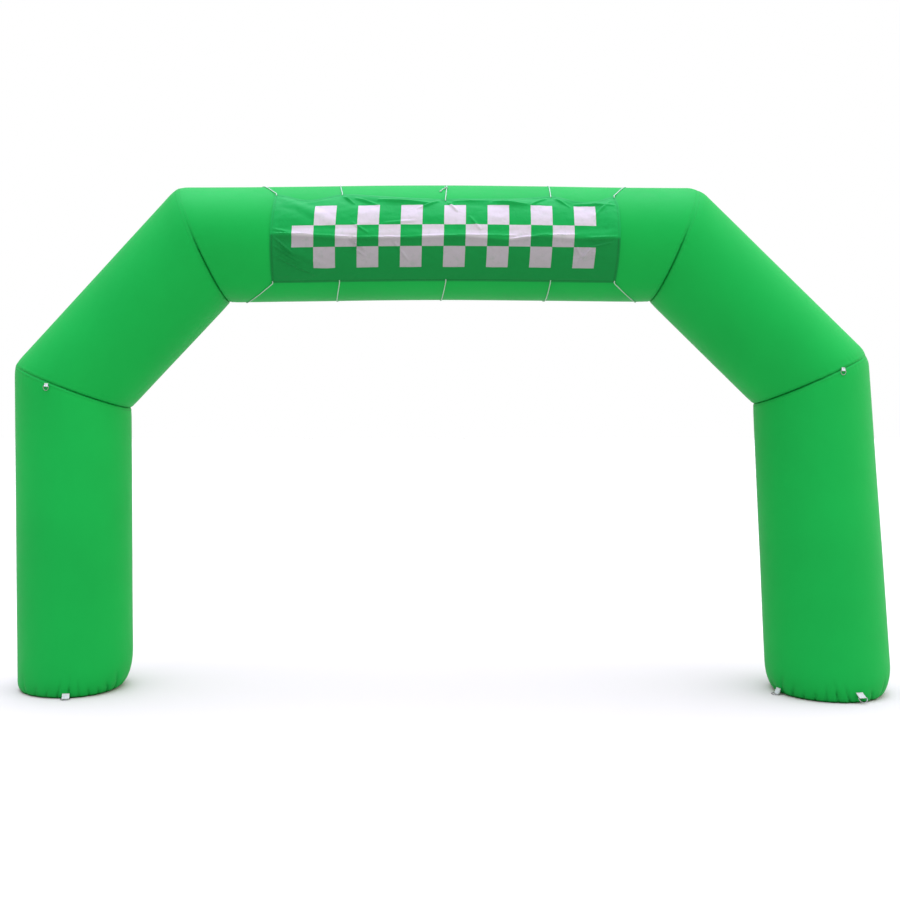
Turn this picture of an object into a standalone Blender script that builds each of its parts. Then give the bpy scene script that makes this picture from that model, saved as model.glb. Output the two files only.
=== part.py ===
"""Inflatable arch: five sewn tube sections, bottom panels, a tied-on banner, webbing tabs and D-rings.

Metres, +Z up. The front faces -Y and +X is to the right of someone who looks at the front. The origin is
on the ground, in the middle of the whole box.
"""

import math

import bmesh
import bpy
from mathutils import Matrix, Vector

# Driving dimensions: the points where the tube's centre line bends, with the tube's radius there.
JOINTS = {
    "left_base": {"x": -2.500, "y": 0.0, "z": 0.0, "radius": 0.382},
    "left_knee": {"x": -2.516, "y": 0.0, "z": 2.065, "radius": 0.385},
    "left_shoulder": {"x": -1.617, "y": 0.0, "z": 3.037, "radius": 0.393},
    "right_shoulder": {"x": 1.613, "y": 0.0, "z": 3.037, "radius": 0.389},
    "right_knee": {"x": 2.552, "y": 0.0, "z": 2.115, "radius": 0.388},
    "right_base": {"x": 2.644, "y": -0.107, "z": 0.0, "radius": 0.411},
}
MIDDLE = Vector((0.0707, -0.0542, 0.0))
BEAM_RISE = 0.015  # how far the beam bows upwards halfway along

# The cloth is drawn in at each mitred seam: a little all round, and more at its outer corner.
SEAM_GAP = 0.0003
PINCH_ALL_ROUND = 0.004
PINCH_OUTSIDE = {"left_knee": 0.005, "left_shoulder": 0.008, "right_shoulder": 0.018, "right_knee": 0.020}
PINCH_WIDTH = 0.075
SEAM_STATIONS = (0.0, 0.014, 0.036, 0.075)

# The bottom of each leg: how far the cloth turns in and from what height, at its left and right in the
# picture and at its front and back.
PANEL_THICK = 0.002
FOOT = {
    "left": {
        "in_left": 0.030,
        "up_left": 0.055,
        "in_right": 0.103,
        "up_right": 0.260,
        "in_front": 0.036,
        "up_front": 0.120,
    },
    "right": {
        "in_left": 0.065,
        "up_left": 0.190,
        "in_right": 0.104,
        "up_right": 0.220,
        "in_front": 0.042,
        "up_front": 0.140,
    },
}
FOOT_STATIONS = (0.0023, 0.012, 0.030, 0.060, 0.105, 0.165, 0.250)
GATHERS = 20  # little gathers around a leg's bottom seam
GATHER_DEPTH = 0.0055
GATHER_TOP = 0.15
GATHER_SIDES = {"left": {"middle": 45.0, "spread": 75.0}, "right": {"middle": 0.0, "spread": 110.0}}

LEG_STEPS = 60
TUBE_STEPS = 40
BEAM_SPANS = 14

# The banner, and how it lies on the front of the beam. Its short edges are points as (degrees, x).
BANNER_LEFT = ((-47.0, -1.117), (-11.0, -1.115), (10.0, -1.111), (42.0, -1.097), (50.0, -1.094))
BANNER_RIGHT = ((-47.0, 1.175), (-14.0, 1.189), (6.0, 1.194), (33.0, 1.190), (47.0, 1.173))
BANNER_THICK = 0.002
BANNER_CLEAR = 0.003
LOWER_HEM = -47.0
BANNER_COLUMNS = 44
BANNER_ROWS = 14

# Ties: where each leaves its hem (from the beam's middle), its angle round the beam, how far it drifts
# sideways before its loop, and how far the hem sags between it and the next.
TIE_DIAMETER = 0.006
TIE_ON_BANNER = 0.018
TIE_GAP = 0.0004
UPPER_LOOPS = 97.0
LOWER_LOOPS = -105.0
TOP_TIES = (
    {"x": -1.086, "hem": 50.0, "drift": -0.134, "sag": 9.0},
    {"x": -0.646, "hem": 48.5, "drift": -0.033, "sag": 2.5},
    {"x": 0.042, "hem": 39.5, "drift": 0.015, "sag": 3.5},
    {"x": 0.742, "hem": 46.0, "drift": 0.002, "sag": 10.0},
    {"x": 1.165, "hem": 47.0, "drift": 0.122, "sag": 0.0},
)
BOTTOM_TIES = (
    {"x": -1.109, "drift": -0.229},
    {"x": -0.664, "drift": -0.044},
    {"x": 0.044, "drift": -0.033},
    {"x": 0.741, "drift": -0.017},
    {"x": 1.167, "drift": 0.197},
)

# The banner's folds, as soft ridges: ends along the beam and as angles round it, height and half width.
FOLDS = (
    {"x0": -1.20, "a0": 3.0, "x1": -0.30, "a1": 1.0, "high": 0.011, "wide": 0.045},
    {"x0": -0.30, "a0": 1.0, "x1": 0.62, "a1": -1.5, "high": 0.012, "wide": 0.045},
    {"x0": 0.62, "a0": -1.5, "x1": 1.22, "a1": 3.0, "high": 0.012, "wide": 0.045},
    {"x0": -0.62, "a0": 44.0, "x1": -0.02, "a1": 33.0, "high": 0.014, "wide": 0.060},
    {"x0": 0.08, "a0": 38.0, "x1": 0.66, "a1": 34.0, "high": 0.013, "wide": 0.055},
    {"x0": 0.80, "a0": 41.0, "x1": 1.12, "a1": 30.0, "high": 0.010, "wide": 0.050},
    {"x0": -1.02, "a0": 38.0, "x1": -0.68, "a1": 12.0, "high": 0.010, "wide": 0.055},
    {"x0": -1.10, "a0": -2.0, "x1": -0.72, "a1": -32.0, "high": 0.009, "wide": 0.045},
    {"x0": 0.84, "a0": -30.0, "x1": 1.10, "a1": -6.0, "high": 0.008, "wide": 0.050},
)
UPPER_PUFF = 0.008  # the upper half stands off the beam by this much more

# Webbing tabs. turn: degrees from the front towards +X. A ring's lean is 0 hanging and 90 lying flat.
STRAP_THICK = 0.0015
FOOT_STRAP = {"wide": 0.048, "wire": 0.005, "ring_wide": 0.058, "ring_deep": 0.036}
KNEE_STRAP = {"wide": 0.027, "wire": 0.004, "ring_wide": 0.038, "ring_deep": 0.028}
RING_CORNER = 0.004
FOOT_TABS = (
    {"leg": "left", "side": "front", "turn": 6.3, "top": 0.036, "bar": 0.0056, "out": 0.010, "lean": 86.0},
    {"leg": "left", "side": "back", "turn": 173.7, "top": 0.036, "bar": 0.0056, "out": 0.010, "lean": 86.0},
    {"leg": "right", "side": "front", "turn": 11.5, "top": 0.074, "bar": 0.0410, "out": 0.004, "lean": 40.0},
    {"leg": "right", "side": "inner", "turn": -71.0, "top": 0.042, "bar": 0.0056, "out": 0.010, "lean": 86.0},
    {"leg": "right", "side": "back", "turn": 168.5, "top": 0.036, "bar": 0.0056, "out": 0.010, "lean": 86.0},
)
FOOT_SWINGS = {"right_front": 30.0}  # degrees that a strap is pulled aside on the wall
KNEE_TABS = (
    {"name": "left_front", "knee": "left_knee", "turn": -10.2, "top": 2.081, "long": 0.020, "swing": -4.0},
    {"name": "left_back", "knee": "left_knee", "turn": 191.6, "top": 2.088, "long": 0.020, "swing": 0.0},
    {"name": "right_front", "knee": "right_knee", "turn": 16.4, "top": 2.184, "long": 0.020, "swing": -6.0},
    {"name": "right_back", "knee": "right_knee", "turn": 163.6, "top": 2.160, "long": 0.020, "swing": 0.0},
)

LOOP_LONG = 0.020  # along its tie
LOOP_HALF = ((-18, 1.1), (-9, 1.1), (-6, 4.4), (-3.6, 8.4), (0, 9.6))  # millimetres from its middle
LOOP_OUTLINE = LOOP_HALF + tuple((-x, y) for x, y in reversed(LOOP_HALF[:-1]))


def clear_scene():
    for obj in list(bpy.data.objects):
        bpy.data.objects.remove(obj, do_unlink=True)


def material(name, colour, roughness, metallic=0.0):
    made = bpy.data.materials.new(name)
    made.use_nodes = True
    shader = made.node_tree.nodes["Principled BSDF"]
    shader.inputs["Base Color"].default_value = (*colour, 1.0)
    shader.inputs["Roughness"].default_value = roughness
    shader.inputs["Metallic"].default_value = metallic
    return made


def add_object(name, data, finish):
    data.materials.append(finish)
    obj = bpy.data.objects.new(name, data)
    bpy.context.scene.collection.objects.link(obj)
    return obj


def solid_from_rings(name, rings, finish):
    """A closed solid through rings of points, each ring going the same way round, with flat ends."""
    shape = bmesh.new()
    rows = [[shape.verts.new(point - MIDDLE) for point in ring] for ring in rings]
    count = len(rows[0])
    for low, high in zip(rows, rows[1:]):
        for i in range(count):
            j = (i + 1) % count
            shape.faces.new((low[i], low[j], high[j], high[i]))
    shape.faces.new(reversed(rows[0]))
    shape.faces.new(rows[-1])
    bmesh.ops.recalc_face_normals(shape, faces=shape.faces)
    mesh = bpy.data.meshes.new(name)
    shape.to_mesh(mesh)
    shape.free()
    mesh.shade_smooth()
    mesh.set_sharp_from_angle(angle=math.radians(40))
    return add_object(name, mesh, finish)


def joint_point(name):
    joint = JOINTS[name]
    return Vector((joint["x"], joint["y"], joint["z"]))


def along(start, end):
    return (joint_point(end) - joint_point(start)).normalized()


def round_angles(steps):
    """Angles round the tube: 0 on the outside of the arch, 90 at the front."""
    return [math.tau * i / steps for i in range(steps)]


def seam_ring(before, joint, after, steps, side):
    """The mitred seam at a joint, moved half the gap towards one side of it."""
    first = along(before, joint)
    second = along(joint, after)
    square = (first + second).normalized()
    stretch = 1 / first.dot(square)
    front = (Vector((0, -1, 0)) + square * square.y).normalized()
    outside = front.cross(square).normalized()
    if outside.dot(Vector((-square.z, 0, square.x))) < 0:
        outside = -outside
    radius = JOINTS[joint]["radius"]
    middle = joint_point(joint) + square * side * SEAM_GAP / 2
    ring = []
    for angle in round_angles(steps):
        outward = outside * math.cos(angle) * stretch + front * math.sin(angle)
        ring.append(middle + outward * radius)
    return ring


def pinch(joint, distance, angle):
    """How far the cloth is drawn in at this distance from a mitred seam."""
    if distance >= PINCH_WIDTH:
        return 0.0
    depth = PINCH_ALL_ROUND + PINCH_OUTSIDE[joint] * max(0.0, math.cos(angle)) ** 2
    return depth * (1 - distance / PINCH_WIDTH) ** 2


def rise(x):
    """The beam's upward bow at this place along it."""
    left = JOINTS["left_shoulder"]["x"]
    right = JOINTS["right_shoulder"]["x"]
    share = min(1.0, max(0.0, (x - left) / (right - left)))
    return BEAM_RISE * math.sin(math.pi * share) ** 2


def radially(points):
    """Unit vectors from a ring's middle to its points."""
    middle = sum(points, Vector()) / len(points)
    return [(point - middle).normalized() for point in points]


def tube_between(name, start_joint, start_ring, end_joint, end_ring, inner_shares, finish, bowed=False):
    """A tube section between two mitred seams."""
    angles = round_angles(len(start_ring))
    rings = []
    stations = [(start_joint, d) for d in SEAM_STATIONS]
    stations += [(None, share) for share in inner_shares]
    stations += [(end_joint, d) for d in reversed(SEAM_STATIONS)]
    for joint, value in stations:
        ring = []
        for start, end in zip(start_ring, end_ring):
            run = end - start
            if joint == start_joint:
                ring.append(start + run.normalized() * value)
            elif joint == end_joint:
                ring.append(end - run.normalized() * value)
            else:
                ring.append(start + run * value)
        if joint:
            outward = radially(ring)
            ring = [p - o * pinch(joint, value, a) for p, o, a in zip(ring, outward, angles)]
        if bowed:
            ring = [p + Vector((0, 0, rise(p.x))) for p in ring]
        rings.append(ring)
    solid_from_rings(name, rings, finish)


def picture_side(side, angle):
    """-1 on the leg's left in the picture, 1 on its right, from its angle round the tube."""
    return -math.cos(angle) if side == "left" else math.cos(angle)


def turned_in(side, angle, height):
    """How far a leg's wall turns in at this height above the ground."""
    foot = FOOT[side]
    across = picture_side(side, angle)
    to_left = max(0.0, -across) ** 2
    to_right = max(0.0, across) ** 2
    to_front = 1 - to_left - to_right
    inset = foot["in_left"] * to_left + foot["in_right"] * to_right + foot["in_front"] * to_front
    top = foot["up_left"] * to_left + foot["up_right"] * to_right + foot["up_front"] * to_front
    if height >= top:
        return 0.0
    return inset * (1 - math.sqrt(1 - (1 - height / top) ** 2))


def gathered(side, angle, height):
    """How far a gather draws the wall in. The cloth only ever goes in from its plain round."""
    if height >= GATHER_TOP:
        return 0.0
    turn = math.degrees(angle) - 90 if side == "left" else 90 - math.degrees(angle)
    off = (turn - GATHER_SIDES[side]["middle"] + 180) % 360 - 180
    strength = 0.25 + 0.75 * math.exp(-((off / GATHER_SIDES[side]["spread"]) ** 2))
    wave = 0.5 - 0.5 * math.cos(GATHERS * angle + 1.3 * math.sin(2 * angle))
    fade = (1 - height / GATHER_TOP) ** 1.5 * (0.45 + 0.55 * min(1.0, height / 0.03))
    return GATHER_DEPTH * strength * wave * fade


def foot_point(side, angle):
    joint = JOINTS[side + "_base"]
    outside = Vector((-1 if side == "left" else 1, 0, 0))
    outward = outside * math.cos(angle) + Vector((0, -1, 0)) * math.sin(angle)
    return joint_point(side + "_base"), outward, joint["radius"]


def leg_section(side, finish):
    """A leg, from the ground to its knee seam."""
    shoulder = side + "_shoulder"
    knee = side + "_knee"
    base = side + "_base"
    if side == "left":
        top_ring = seam_ring(base, knee, shoulder, LEG_STEPS, -1)
    else:
        top_ring = seam_ring(shoulder, knee, base, LEG_STEPS, 1)
    angles = round_angles(LEG_STEPS)
    rings = []
    for height in FOOT_STATIONS:
        ring = []
        for angle, top in zip(angles, top_ring):
            middle, outward, radius = foot_point(side, angle)
            bottom = middle + outward * radius
            point = bottom + (top - bottom) * (height / top.z)
            ring.append(point - outward * (turned_in(side, angle, height) + gathered(side, angle, height)))
        rings.append(ring)
    for share in (0.32, 0.58, 0.84):
        ring = []
        for angle, top in zip(angles, top_ring):
            middle, outward, radius = foot_point(side, angle)
            bottom = middle + outward * radius
            ring.append(bottom + (top - bottom) * share)
        rings.append(ring)
    for distance in reversed(SEAM_STATIONS):
        ring = []
        for angle, top in zip(angles, top_ring):
            middle, outward, radius = foot_point(side, angle)
            run = (top - middle - outward * radius).normalized()
            ring.append(top - run * distance)
        outward = radially(ring)
        rings.append([p - o * pinch(knee, distance, a) for p, o, a in zip(ring, outward, angles)])
    solid_from_rings("leg_" + side, rings, finish)


def bottom_panel(side, finish):
    """The round panel that closes a leg and lies on the ground."""
    rings = []
    for height in (0.0, PANEL_THICK):
        ring = []
        for angle in round_angles(LEG_STEPS):
            middle, outward, radius = foot_point(side, angle)
            reach = radius - 0.95 * turned_in(side, angle, 0.0) - gathered(side, angle, 0.0)
            ring.append(middle + outward * reach + Vector((0, 0, height)))
        rings.append(ring)
    solid_from_rings("base_" + side, rings, finish)


def on_beam(x, degrees, lift):
    """A point this far off the beam's skin, at this angle up from its front."""
    left = JOINTS["left_shoulder"]
    right = JOINTS["right_shoulder"]
    share = min(1.0, max(0.0, (x - left["x"]) / (right["x"] - left["x"])))
    radius = left["radius"] + (right["radius"] - left["radius"]) * share + lift
    angle = math.radians(degrees)
    height = left["z"] + (right["z"] - left["z"]) * share + rise(x)
    return Vector((x, -radius * math.cos(angle), height + radius * math.sin(angle)))


def arc_degrees(distance):
    """The angle round the beam that this distance over its skin takes."""
    return math.degrees(distance / JOINTS["left_shoulder"]["radius"])


def upper_hem(x):
    """The angle of the banner's upper hem: held up at its ties, sagging between them."""
    first = TOP_TIES[0]
    if x <= first["x"]:
        return first["hem"]
    for tie, following in zip(TOP_TIES, TOP_TIES[1:]):
        if x <= following["x"]:
            share = (x - tie["x"]) / (following["x"] - tie["x"])
            line = tie["hem"] + (following["hem"] - tie["hem"]) * share
            return line - tie["sag"] * math.sin(math.pi * share) ** 1.5
    return TOP_TIES[-1]["hem"]


def fold_height(x, degrees):
    """How far the banner's folds lift it here."""
    around = JOINTS["left_shoulder"]["radius"] * math.radians(1)
    lift = 0.0
    for fold in FOLDS:
        run = Vector((fold["x1"] - fold["x0"], (fold["a1"] - fold["a0"]) * around))
        here = Vector((x - fold["x0"], (degrees - fold["a0"]) * around))
        share = min(1.0, max(0.0, here.dot(run) / run.length_squared))
        away = (here - run * share).length / fold["wide"]
        if away < 1:
            ends = math.sin(math.pi * min(1.0, max(0.0, 0.12 + 0.76 * share)))
            lift = max(lift, fold["high"] * ends * math.cos(away * math.pi / 2) ** 2)
    return lift


def banner_edge(points, degrees):
    """Where one of the banner's short edges lies at this angle."""
    if degrees <= points[0][0]:
        return points[0][1]
    for (low, start), (high, end) in zip(points, points[1:]):
        if degrees <= high:
            return start + (end - start) * (degrees - low) / (high - low)
    return points[-1][1]


def banner_lift(x, degrees):
    """The banner's inner face above the beam's skin."""
    left = banner_edge(BANNER_LEFT, degrees)
    right = banner_edge(BANNER_RIGHT, degrees)
    puff = 0.0
    hem = upper_hem(x)
    if 0 < degrees < hem:
        puff = UPPER_PUFF * math.sin(math.pi * degrees / hem) ** 2
    ends = min(1.0, (x - left) / 0.08, (right - x) / 0.08)
    return BANNER_CLEAR + (puff + fold_height(x, degrees)) * max(0.0, ends)


def banner(finish):
    """The printed sheet over the beam's front, as one closed thin solid."""
    shape = bmesh.new()
    faces = []
    for lift in (0.0, BANNER_THICK):
        grid = []
        for i in range(BANNER_COLUMNS + 1):
            start = BANNER_LEFT[-1][1]
            hem = upper_hem(start + (BANNER_RIGHT[-1][1] - start) * i / BANNER_COLUMNS)
            column = []
            for j in range(BANNER_ROWS + 1):
                degrees = LOWER_HEM + (hem - LOWER_HEM) * j / BANNER_ROWS
                left = banner_edge(BANNER_LEFT, degrees)
                right = banner_edge(BANNER_RIGHT, degrees)
                x = left + (right - left) * i / BANNER_COLUMNS
                place = on_beam(x, degrees, banner_lift(x, degrees) + lift)
                column.append(shape.verts.new(place - MIDDLE))
            grid.append(column)
        faces.append(grid)
    for grid in faces:
        for i in range(BANNER_COLUMNS):
            for j in range(BANNER_ROWS):
                shape.faces.new((grid[i][j], grid[i + 1][j], grid[i + 1][j + 1], grid[i][j + 1]))
    inner, outer = faces
    rim = [(i, 0) for i in range(BANNER_COLUMNS)]
    rim += [(BANNER_COLUMNS, j) for j in range(BANNER_ROWS)]
    rim += [(i, BANNER_ROWS) for i in range(BANNER_COLUMNS, 0, -1)]
    rim += [(0, j) for j in range(BANNER_ROWS, 0, -1)]
    for (i, j), (k, m) in zip(rim, rim[1:] + rim[:1]):
        shape.faces.new((inner[i][j], inner[k][m], outer[k][m], outer[i][j]))
    bmesh.ops.recalc_face_normals(shape, faces=shape.faces)
    mesh = bpy.data.meshes.new("banner")
    shape.to_mesh(mesh)
    shape.free()
    mesh.shade_smooth()
    mesh.set_sharp_from_angle(angle=math.radians(50))
    add_object("banner", mesh, finish)


def cord(name, points, diameter, finish, closed=False, sides=2):
    """A round cord or wire through these points."""
    curve = bpy.data.curves.new(name, "CURVE")
    curve.dimensions = "3D"
    curve.bevel_depth = diameter / 2
    curve.bevel_resolution = sides
    curve.use_fill_caps = True
    spline = curve.splines.new("POLY")
    spline.points.add(len(points) - 1)
    for spot, point in zip(spline.points, points):
        spot.co = (*(point - MIDDLE), 1.0)
    spline.use_cyclic_u = closed
    add_object(name, curve, finish)


def tie_route(x, hem, loop, drift):
    """A tie's centre line: from on the banner, over its hem and round the beam, through its loop."""
    radius = TIE_DIAMETER / 2
    away = 1 if loop > hem else -1
    begin = hem - away * arc_degrees(TIE_ON_BANNER)
    finish = loop + away * arc_degrees(LOOP_LONG)
    steps = max(16, round((abs(finish - begin) / arc_degrees(1)) / (3 * TIE_DIAMETER)))
    on_cloth = BANNER_CLEAR + BANNER_THICK + TIE_GAP + radius
    on_skin = TIE_GAP + radius
    points = []
    for i in range(steps + 1):
        degrees = begin + (finish - begin) * i / steps
        past = (degrees - hem) * away
        share = min(1.0, max(0.0, past / ((loop - hem) * away)))
        drop = min(1.0, max(0.0, (past - arc_degrees(0.006)) / arc_degrees(0.045)))
        drop = drop * drop * (3 - 2 * drop)
        own = banner_lift(x, min(max(degrees, LOWER_HEM), hem if away > 0 else 0.0)) - BANNER_CLEAR
        lift = (on_cloth + own) * (1 - drop) + on_skin * drop
        sway = drift * math.sin(share * math.pi / 2)
        points.append(on_beam(x + sway, degrees, lift))
    return points


def ribbon_outline(middle, thick):
    """The closed outline of a strip of this thickness along a centre line."""
    upper = []
    lower = []
    for i, point in enumerate(middle):
        before = Vector(middle[max(0, i - 1)])
        after = Vector(middle[min(len(middle) - 1, i + 1)])
        run = (after - before).normalized()
        square = Vector((-run.y, run.x))
        upper.append(Vector(point) + square * thick / 2)
        lower.append(Vector(point) - square * thick / 2)
    return upper + lower[::-1]


def strip(name, outline, wide, origin, across, run, out, finish):
    """A strip of webbing: an outline in its run and out directions, drawn out across."""
    rings = []
    for side in (-0.5, 0.5):
        ring = [origin + across * wide * side + run * p.x + out * p.y for p in outline]
        rings.append(ring)
    solid_from_rings(name, rings, finish)


def ring_outline(wide, deep):
    """Half plan of a D-ring, bar first: points as (across, away from the bar)."""
    half = wide / 2
    corner = RING_CORNER
    points = [(-half + 2 * corner, 0.0), (half - 2 * corner, 0.0)]
    for degrees in (-60, -20):
        angle = math.radians(degrees)
        points.append((half - corner + corner * math.cos(angle), corner + corner * math.sin(angle)))
    for step in range(9):
        angle = math.pi * step / 8
        points.append((half * math.cos(angle), corner + (deep - corner) * math.sin(angle)))
    for degrees in (200, 240):
        angle = math.radians(degrees)
        points.append((-half + corner + corner * math.cos(angle), corner + corner * math.sin(angle)))
    return points


def strap_with_ring(name, sizes, origin, across, run, out, long, lean, cloth, metal, prefix=""):
    """A folded webbing strap, sewn on at origin, with a D-ring in its fold."""
    square = (run - across * run.dot(across)).normalized()
    fold = (sizes["wire"] / 2 + 0.0005) / square.dot(run) + STRAP_THICK / 2
    bar = fold + STRAP_THICK / 2 + 0.0005
    meet = min(0.014, long * 0.55)
    middle = [(0.0, 0.0012), (meet * 0.5, 0.0018), (meet, 0.0034), (long, bar + fold)]
    for degrees in (50, 0, -50):
        angle = math.radians(degrees)
        middle.append((long + fold * math.cos(angle), bar + fold * math.sin(angle)))
    middle += [(long, bar - fold), (meet, 0.0013)]
    outline = ribbon_outline(middle, STRAP_THICK)
    strip(prefix + "tab_" + name, outline, sizes["wide"], origin, across, run, out, cloth)
    bar_at = origin + run * long + out * bar
    turned = Matrix.Rotation(math.radians(lean), 3, across) @ square
    if turned.dot(out) < square.dot(out) - 1e-6 and lean > 0:
        turned = Matrix.Rotation(-math.radians(lean), 3, across) @ square
    plan = ring_outline(sizes["ring_wide"], sizes["ring_deep"])
    points = [bar_at + across * p[0] + turned * p[1] for p in plan]
    cord(prefix + "ring_" + name, points, sizes["wire"], metal, closed=True, sides=1)


def foot_tab(tab, cloth, metal):
    side = tab["leg"]
    turn = math.radians(tab["turn"])
    angle = math.pi / 2 + turn if side == "left" else math.pi / 2 - turn
    middle, outward, radius = foot_point(side, angle)
    knee = joint_point(side + "_knee")
    centre = middle + (knee - middle) * (tab["top"] / knee.z)
    reach = radius - turned_in(side, angle, tab["top"]) + 0.0005
    origin = centre + outward * reach
    across = Vector((math.cos(turn), math.sin(turn), 0))
    name = side + "_" + tab["side"]
    aside = math.tan(math.radians(FOOT_SWINGS.get(name, 0.0))) * (tab["top"] - tab["bar"])
    down = Vector((0, 0, tab["bar"] - tab["top"])) + across * aside
    run = (down + outward * tab["out"]).normalized()
    out = (outward - run * outward.dot(run)).normalized()
    long = (down + outward * tab["out"]).length
    slope = math.degrees(math.atan2(tab["out"], tab["top"] - tab["bar"]))
    strap_with_ring(name, FOOT_STRAP, origin, across, run, out, long, tab["lean"] - slope, cloth, metal)


def knee_tab(tab, cloth, metal):
    knee = joint_point(tab["knee"])
    radius = JOINTS[tab["knee"]]["radius"]
    turn = math.radians(tab["turn"])
    out = Vector((math.sin(turn), -math.cos(turn), 0))
    level = Vector((math.cos(turn), math.sin(turn), 0))
    swing = math.radians(tab["swing"])
    run = Vector((0, 0, -1)) * math.cos(swing) + level * math.sin(swing)
    across = level * math.cos(swing) + Vector((0, 0, 1)) * math.sin(swing)
    origin = Vector((knee.x, knee.y, tab["top"])) + out * (radius + 0.0008)
    strap_with_ring(
        tab["name"], KNEE_STRAP, origin, across, run, out, tab["long"], 0.0, cloth, metal, "knee_"
    )


def tie_and_loop(name, tie, hem, loop, cloth, finish):
    """One tie, and the sewn loop on the beam that it goes through."""
    points = tie_route(tie["x"], hem, loop, tie["drift"])
    cord("tie_" + name, points, TIE_DIAMETER, finish)
    spot = tie["x"] + tie["drift"]
    angle = math.radians(loop)
    out = Vector((0, -math.cos(angle), math.sin(angle)))
    run = (points[-1] - points[-3]).normalized()
    run = (run - out * run.dot(out)).normalized()
    across = run.cross(out)
    outline = ribbon_outline([Vector(p) / 1000 for p in LOOP_OUTLINE], STRAP_THICK)
    origin = on_beam(spot, loop, 0.0002) - run * LOOP_LONG / 2
    rings = []
    for share in (0.0, 1.0):
        rings.append([origin + run * LOOP_LONG * share + across * p.x + out * p.y for p in outline])
    solid_from_rings("tie_loop_" + name, rings, cloth)


def loose_end(finish):
    """The free end beside the middle top tie, lying on the beam."""
    tie = TOP_TIES[2]
    lift = TIE_GAP + TIE_DIAMETER / 2
    route = ((0.0, 60.0), (-0.010, 59.3), (-0.020, 57.6), (-0.028, 55.4), (-0.032, 53.2))
    points = []
    for i in range(len(route) - 1):
        for share in (0.0, 0.5):
            x = route[i][0] + (route[i + 1][0] - route[i][0]) * share
            degrees = route[i][1] + (route[i + 1][1] - route[i][1]) * share
            points.append(on_beam(tie["x"] + x, degrees, lift))
    points.append(on_beam(tie["x"] + route[-1][0], route[-1][1], lift))
    cord("tie_end", points, TIE_DIAMETER, finish)


def main():
    clear_scene()
    nylon = material("green_nylon", (0.02, 0.36, 0.07), 0.45)
    printed = material("banner_cloth", (0.015, 0.28, 0.05), 0.5)
    webbing = material("white_webbing", (0.80, 0.80, 0.78), 0.7)
    white_cord = material("white_cord", (0.85, 0.85, 0.82), 0.6)
    steel = material("plated_steel", (0.62, 0.62, 0.60), 0.3, 1.0)

    leg_section("left", nylon)
    leg_section("right", nylon)
    bottom_panel("left", nylon)
    bottom_panel("right", nylon)

    names = list(JOINTS)
    left_knee = seam_ring(*names[0:3], TUBE_STEPS, 1)
    left_shoulder = [seam_ring(*names[1:4], TUBE_STEPS, side) for side in (-1, 1)]
    right_shoulder = [seam_ring(*names[2:5], TUBE_STEPS, side) for side in (-1, 1)]
    right_knee = seam_ring(*names[3:6], TUBE_STEPS, -1)
    spans = [i / BEAM_SPANS for i in range(1, BEAM_SPANS)]
    tube_between("shoulder_left", names[1], left_knee, names[2], left_shoulder[0], (0.5,), nylon)
    tube_between("beam", names[2], left_shoulder[1], names[3], right_shoulder[0], spans, nylon, True)
    tube_between("shoulder_right", names[3], right_shoulder[1], names[4], right_knee, (0.5,), nylon)

    banner(printed)
    for i, tie in enumerate(TOP_TIES, 1):
        tie_and_loop(f"top_{i}", tie, tie["hem"], UPPER_LOOPS, webbing, white_cord)
    for i, tie in enumerate(BOTTOM_TIES, 1):
        tie_and_loop(f"bottom_{i}", tie, LOWER_HEM, LOWER_LOOPS, webbing, white_cord)
    loose_end(white_cord)

    for tab in FOOT_TABS:
        foot_tab(tab, webbing, steel)
    for tab in KNEE_TABS:
        knee_tab(tab, webbing, steel)


main()
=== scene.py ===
"""An inflatable arch: five sewn tube sections with a tied-on banner, webbing tabs and D-rings.

Metres, +Z up. The front faces -Y. The origin is on the ground, in the middle of the whole arch.
"""

import math

import bmesh
import bpy
import numpy as np
from mathutils import Matrix, Vector, noise


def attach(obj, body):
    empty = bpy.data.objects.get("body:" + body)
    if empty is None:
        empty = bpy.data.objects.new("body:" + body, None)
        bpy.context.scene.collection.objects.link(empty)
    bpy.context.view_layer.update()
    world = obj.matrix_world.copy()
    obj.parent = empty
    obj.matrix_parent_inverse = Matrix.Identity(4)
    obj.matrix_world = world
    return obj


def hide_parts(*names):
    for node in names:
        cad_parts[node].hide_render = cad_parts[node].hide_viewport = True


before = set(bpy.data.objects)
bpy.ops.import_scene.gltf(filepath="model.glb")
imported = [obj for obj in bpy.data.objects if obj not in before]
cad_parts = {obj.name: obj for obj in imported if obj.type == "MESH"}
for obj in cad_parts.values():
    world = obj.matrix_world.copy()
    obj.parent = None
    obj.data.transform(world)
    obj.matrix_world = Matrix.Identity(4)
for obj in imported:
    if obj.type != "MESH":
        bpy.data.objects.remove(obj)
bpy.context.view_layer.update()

# The camera stands level in front of the arch, a little left of its middle and lower than its beam. Its
# lens takes in the whole width with room around it.
camera_data = bpy.data.cameras.new("camera")
camera_data.lens = 49.25
camera_data.sensor_width = 36.0
camera_data.shift_x = 0.012
camera_data.shift_y = -0.0513
camera_data.clip_end = 200.0
camera = bpy.data.objects.new("camera", camera_data)
camera.location = (-0.0707, -8.4258, 1.945)
camera.rotation_euler = (math.pi / 2, 0.0, 0.0)
bpy.context.scene.collection.objects.link(camera)
bpy.context.scene.camera = camera
bpy.context.scene.view_settings.view_transform = "Standard"


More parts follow.
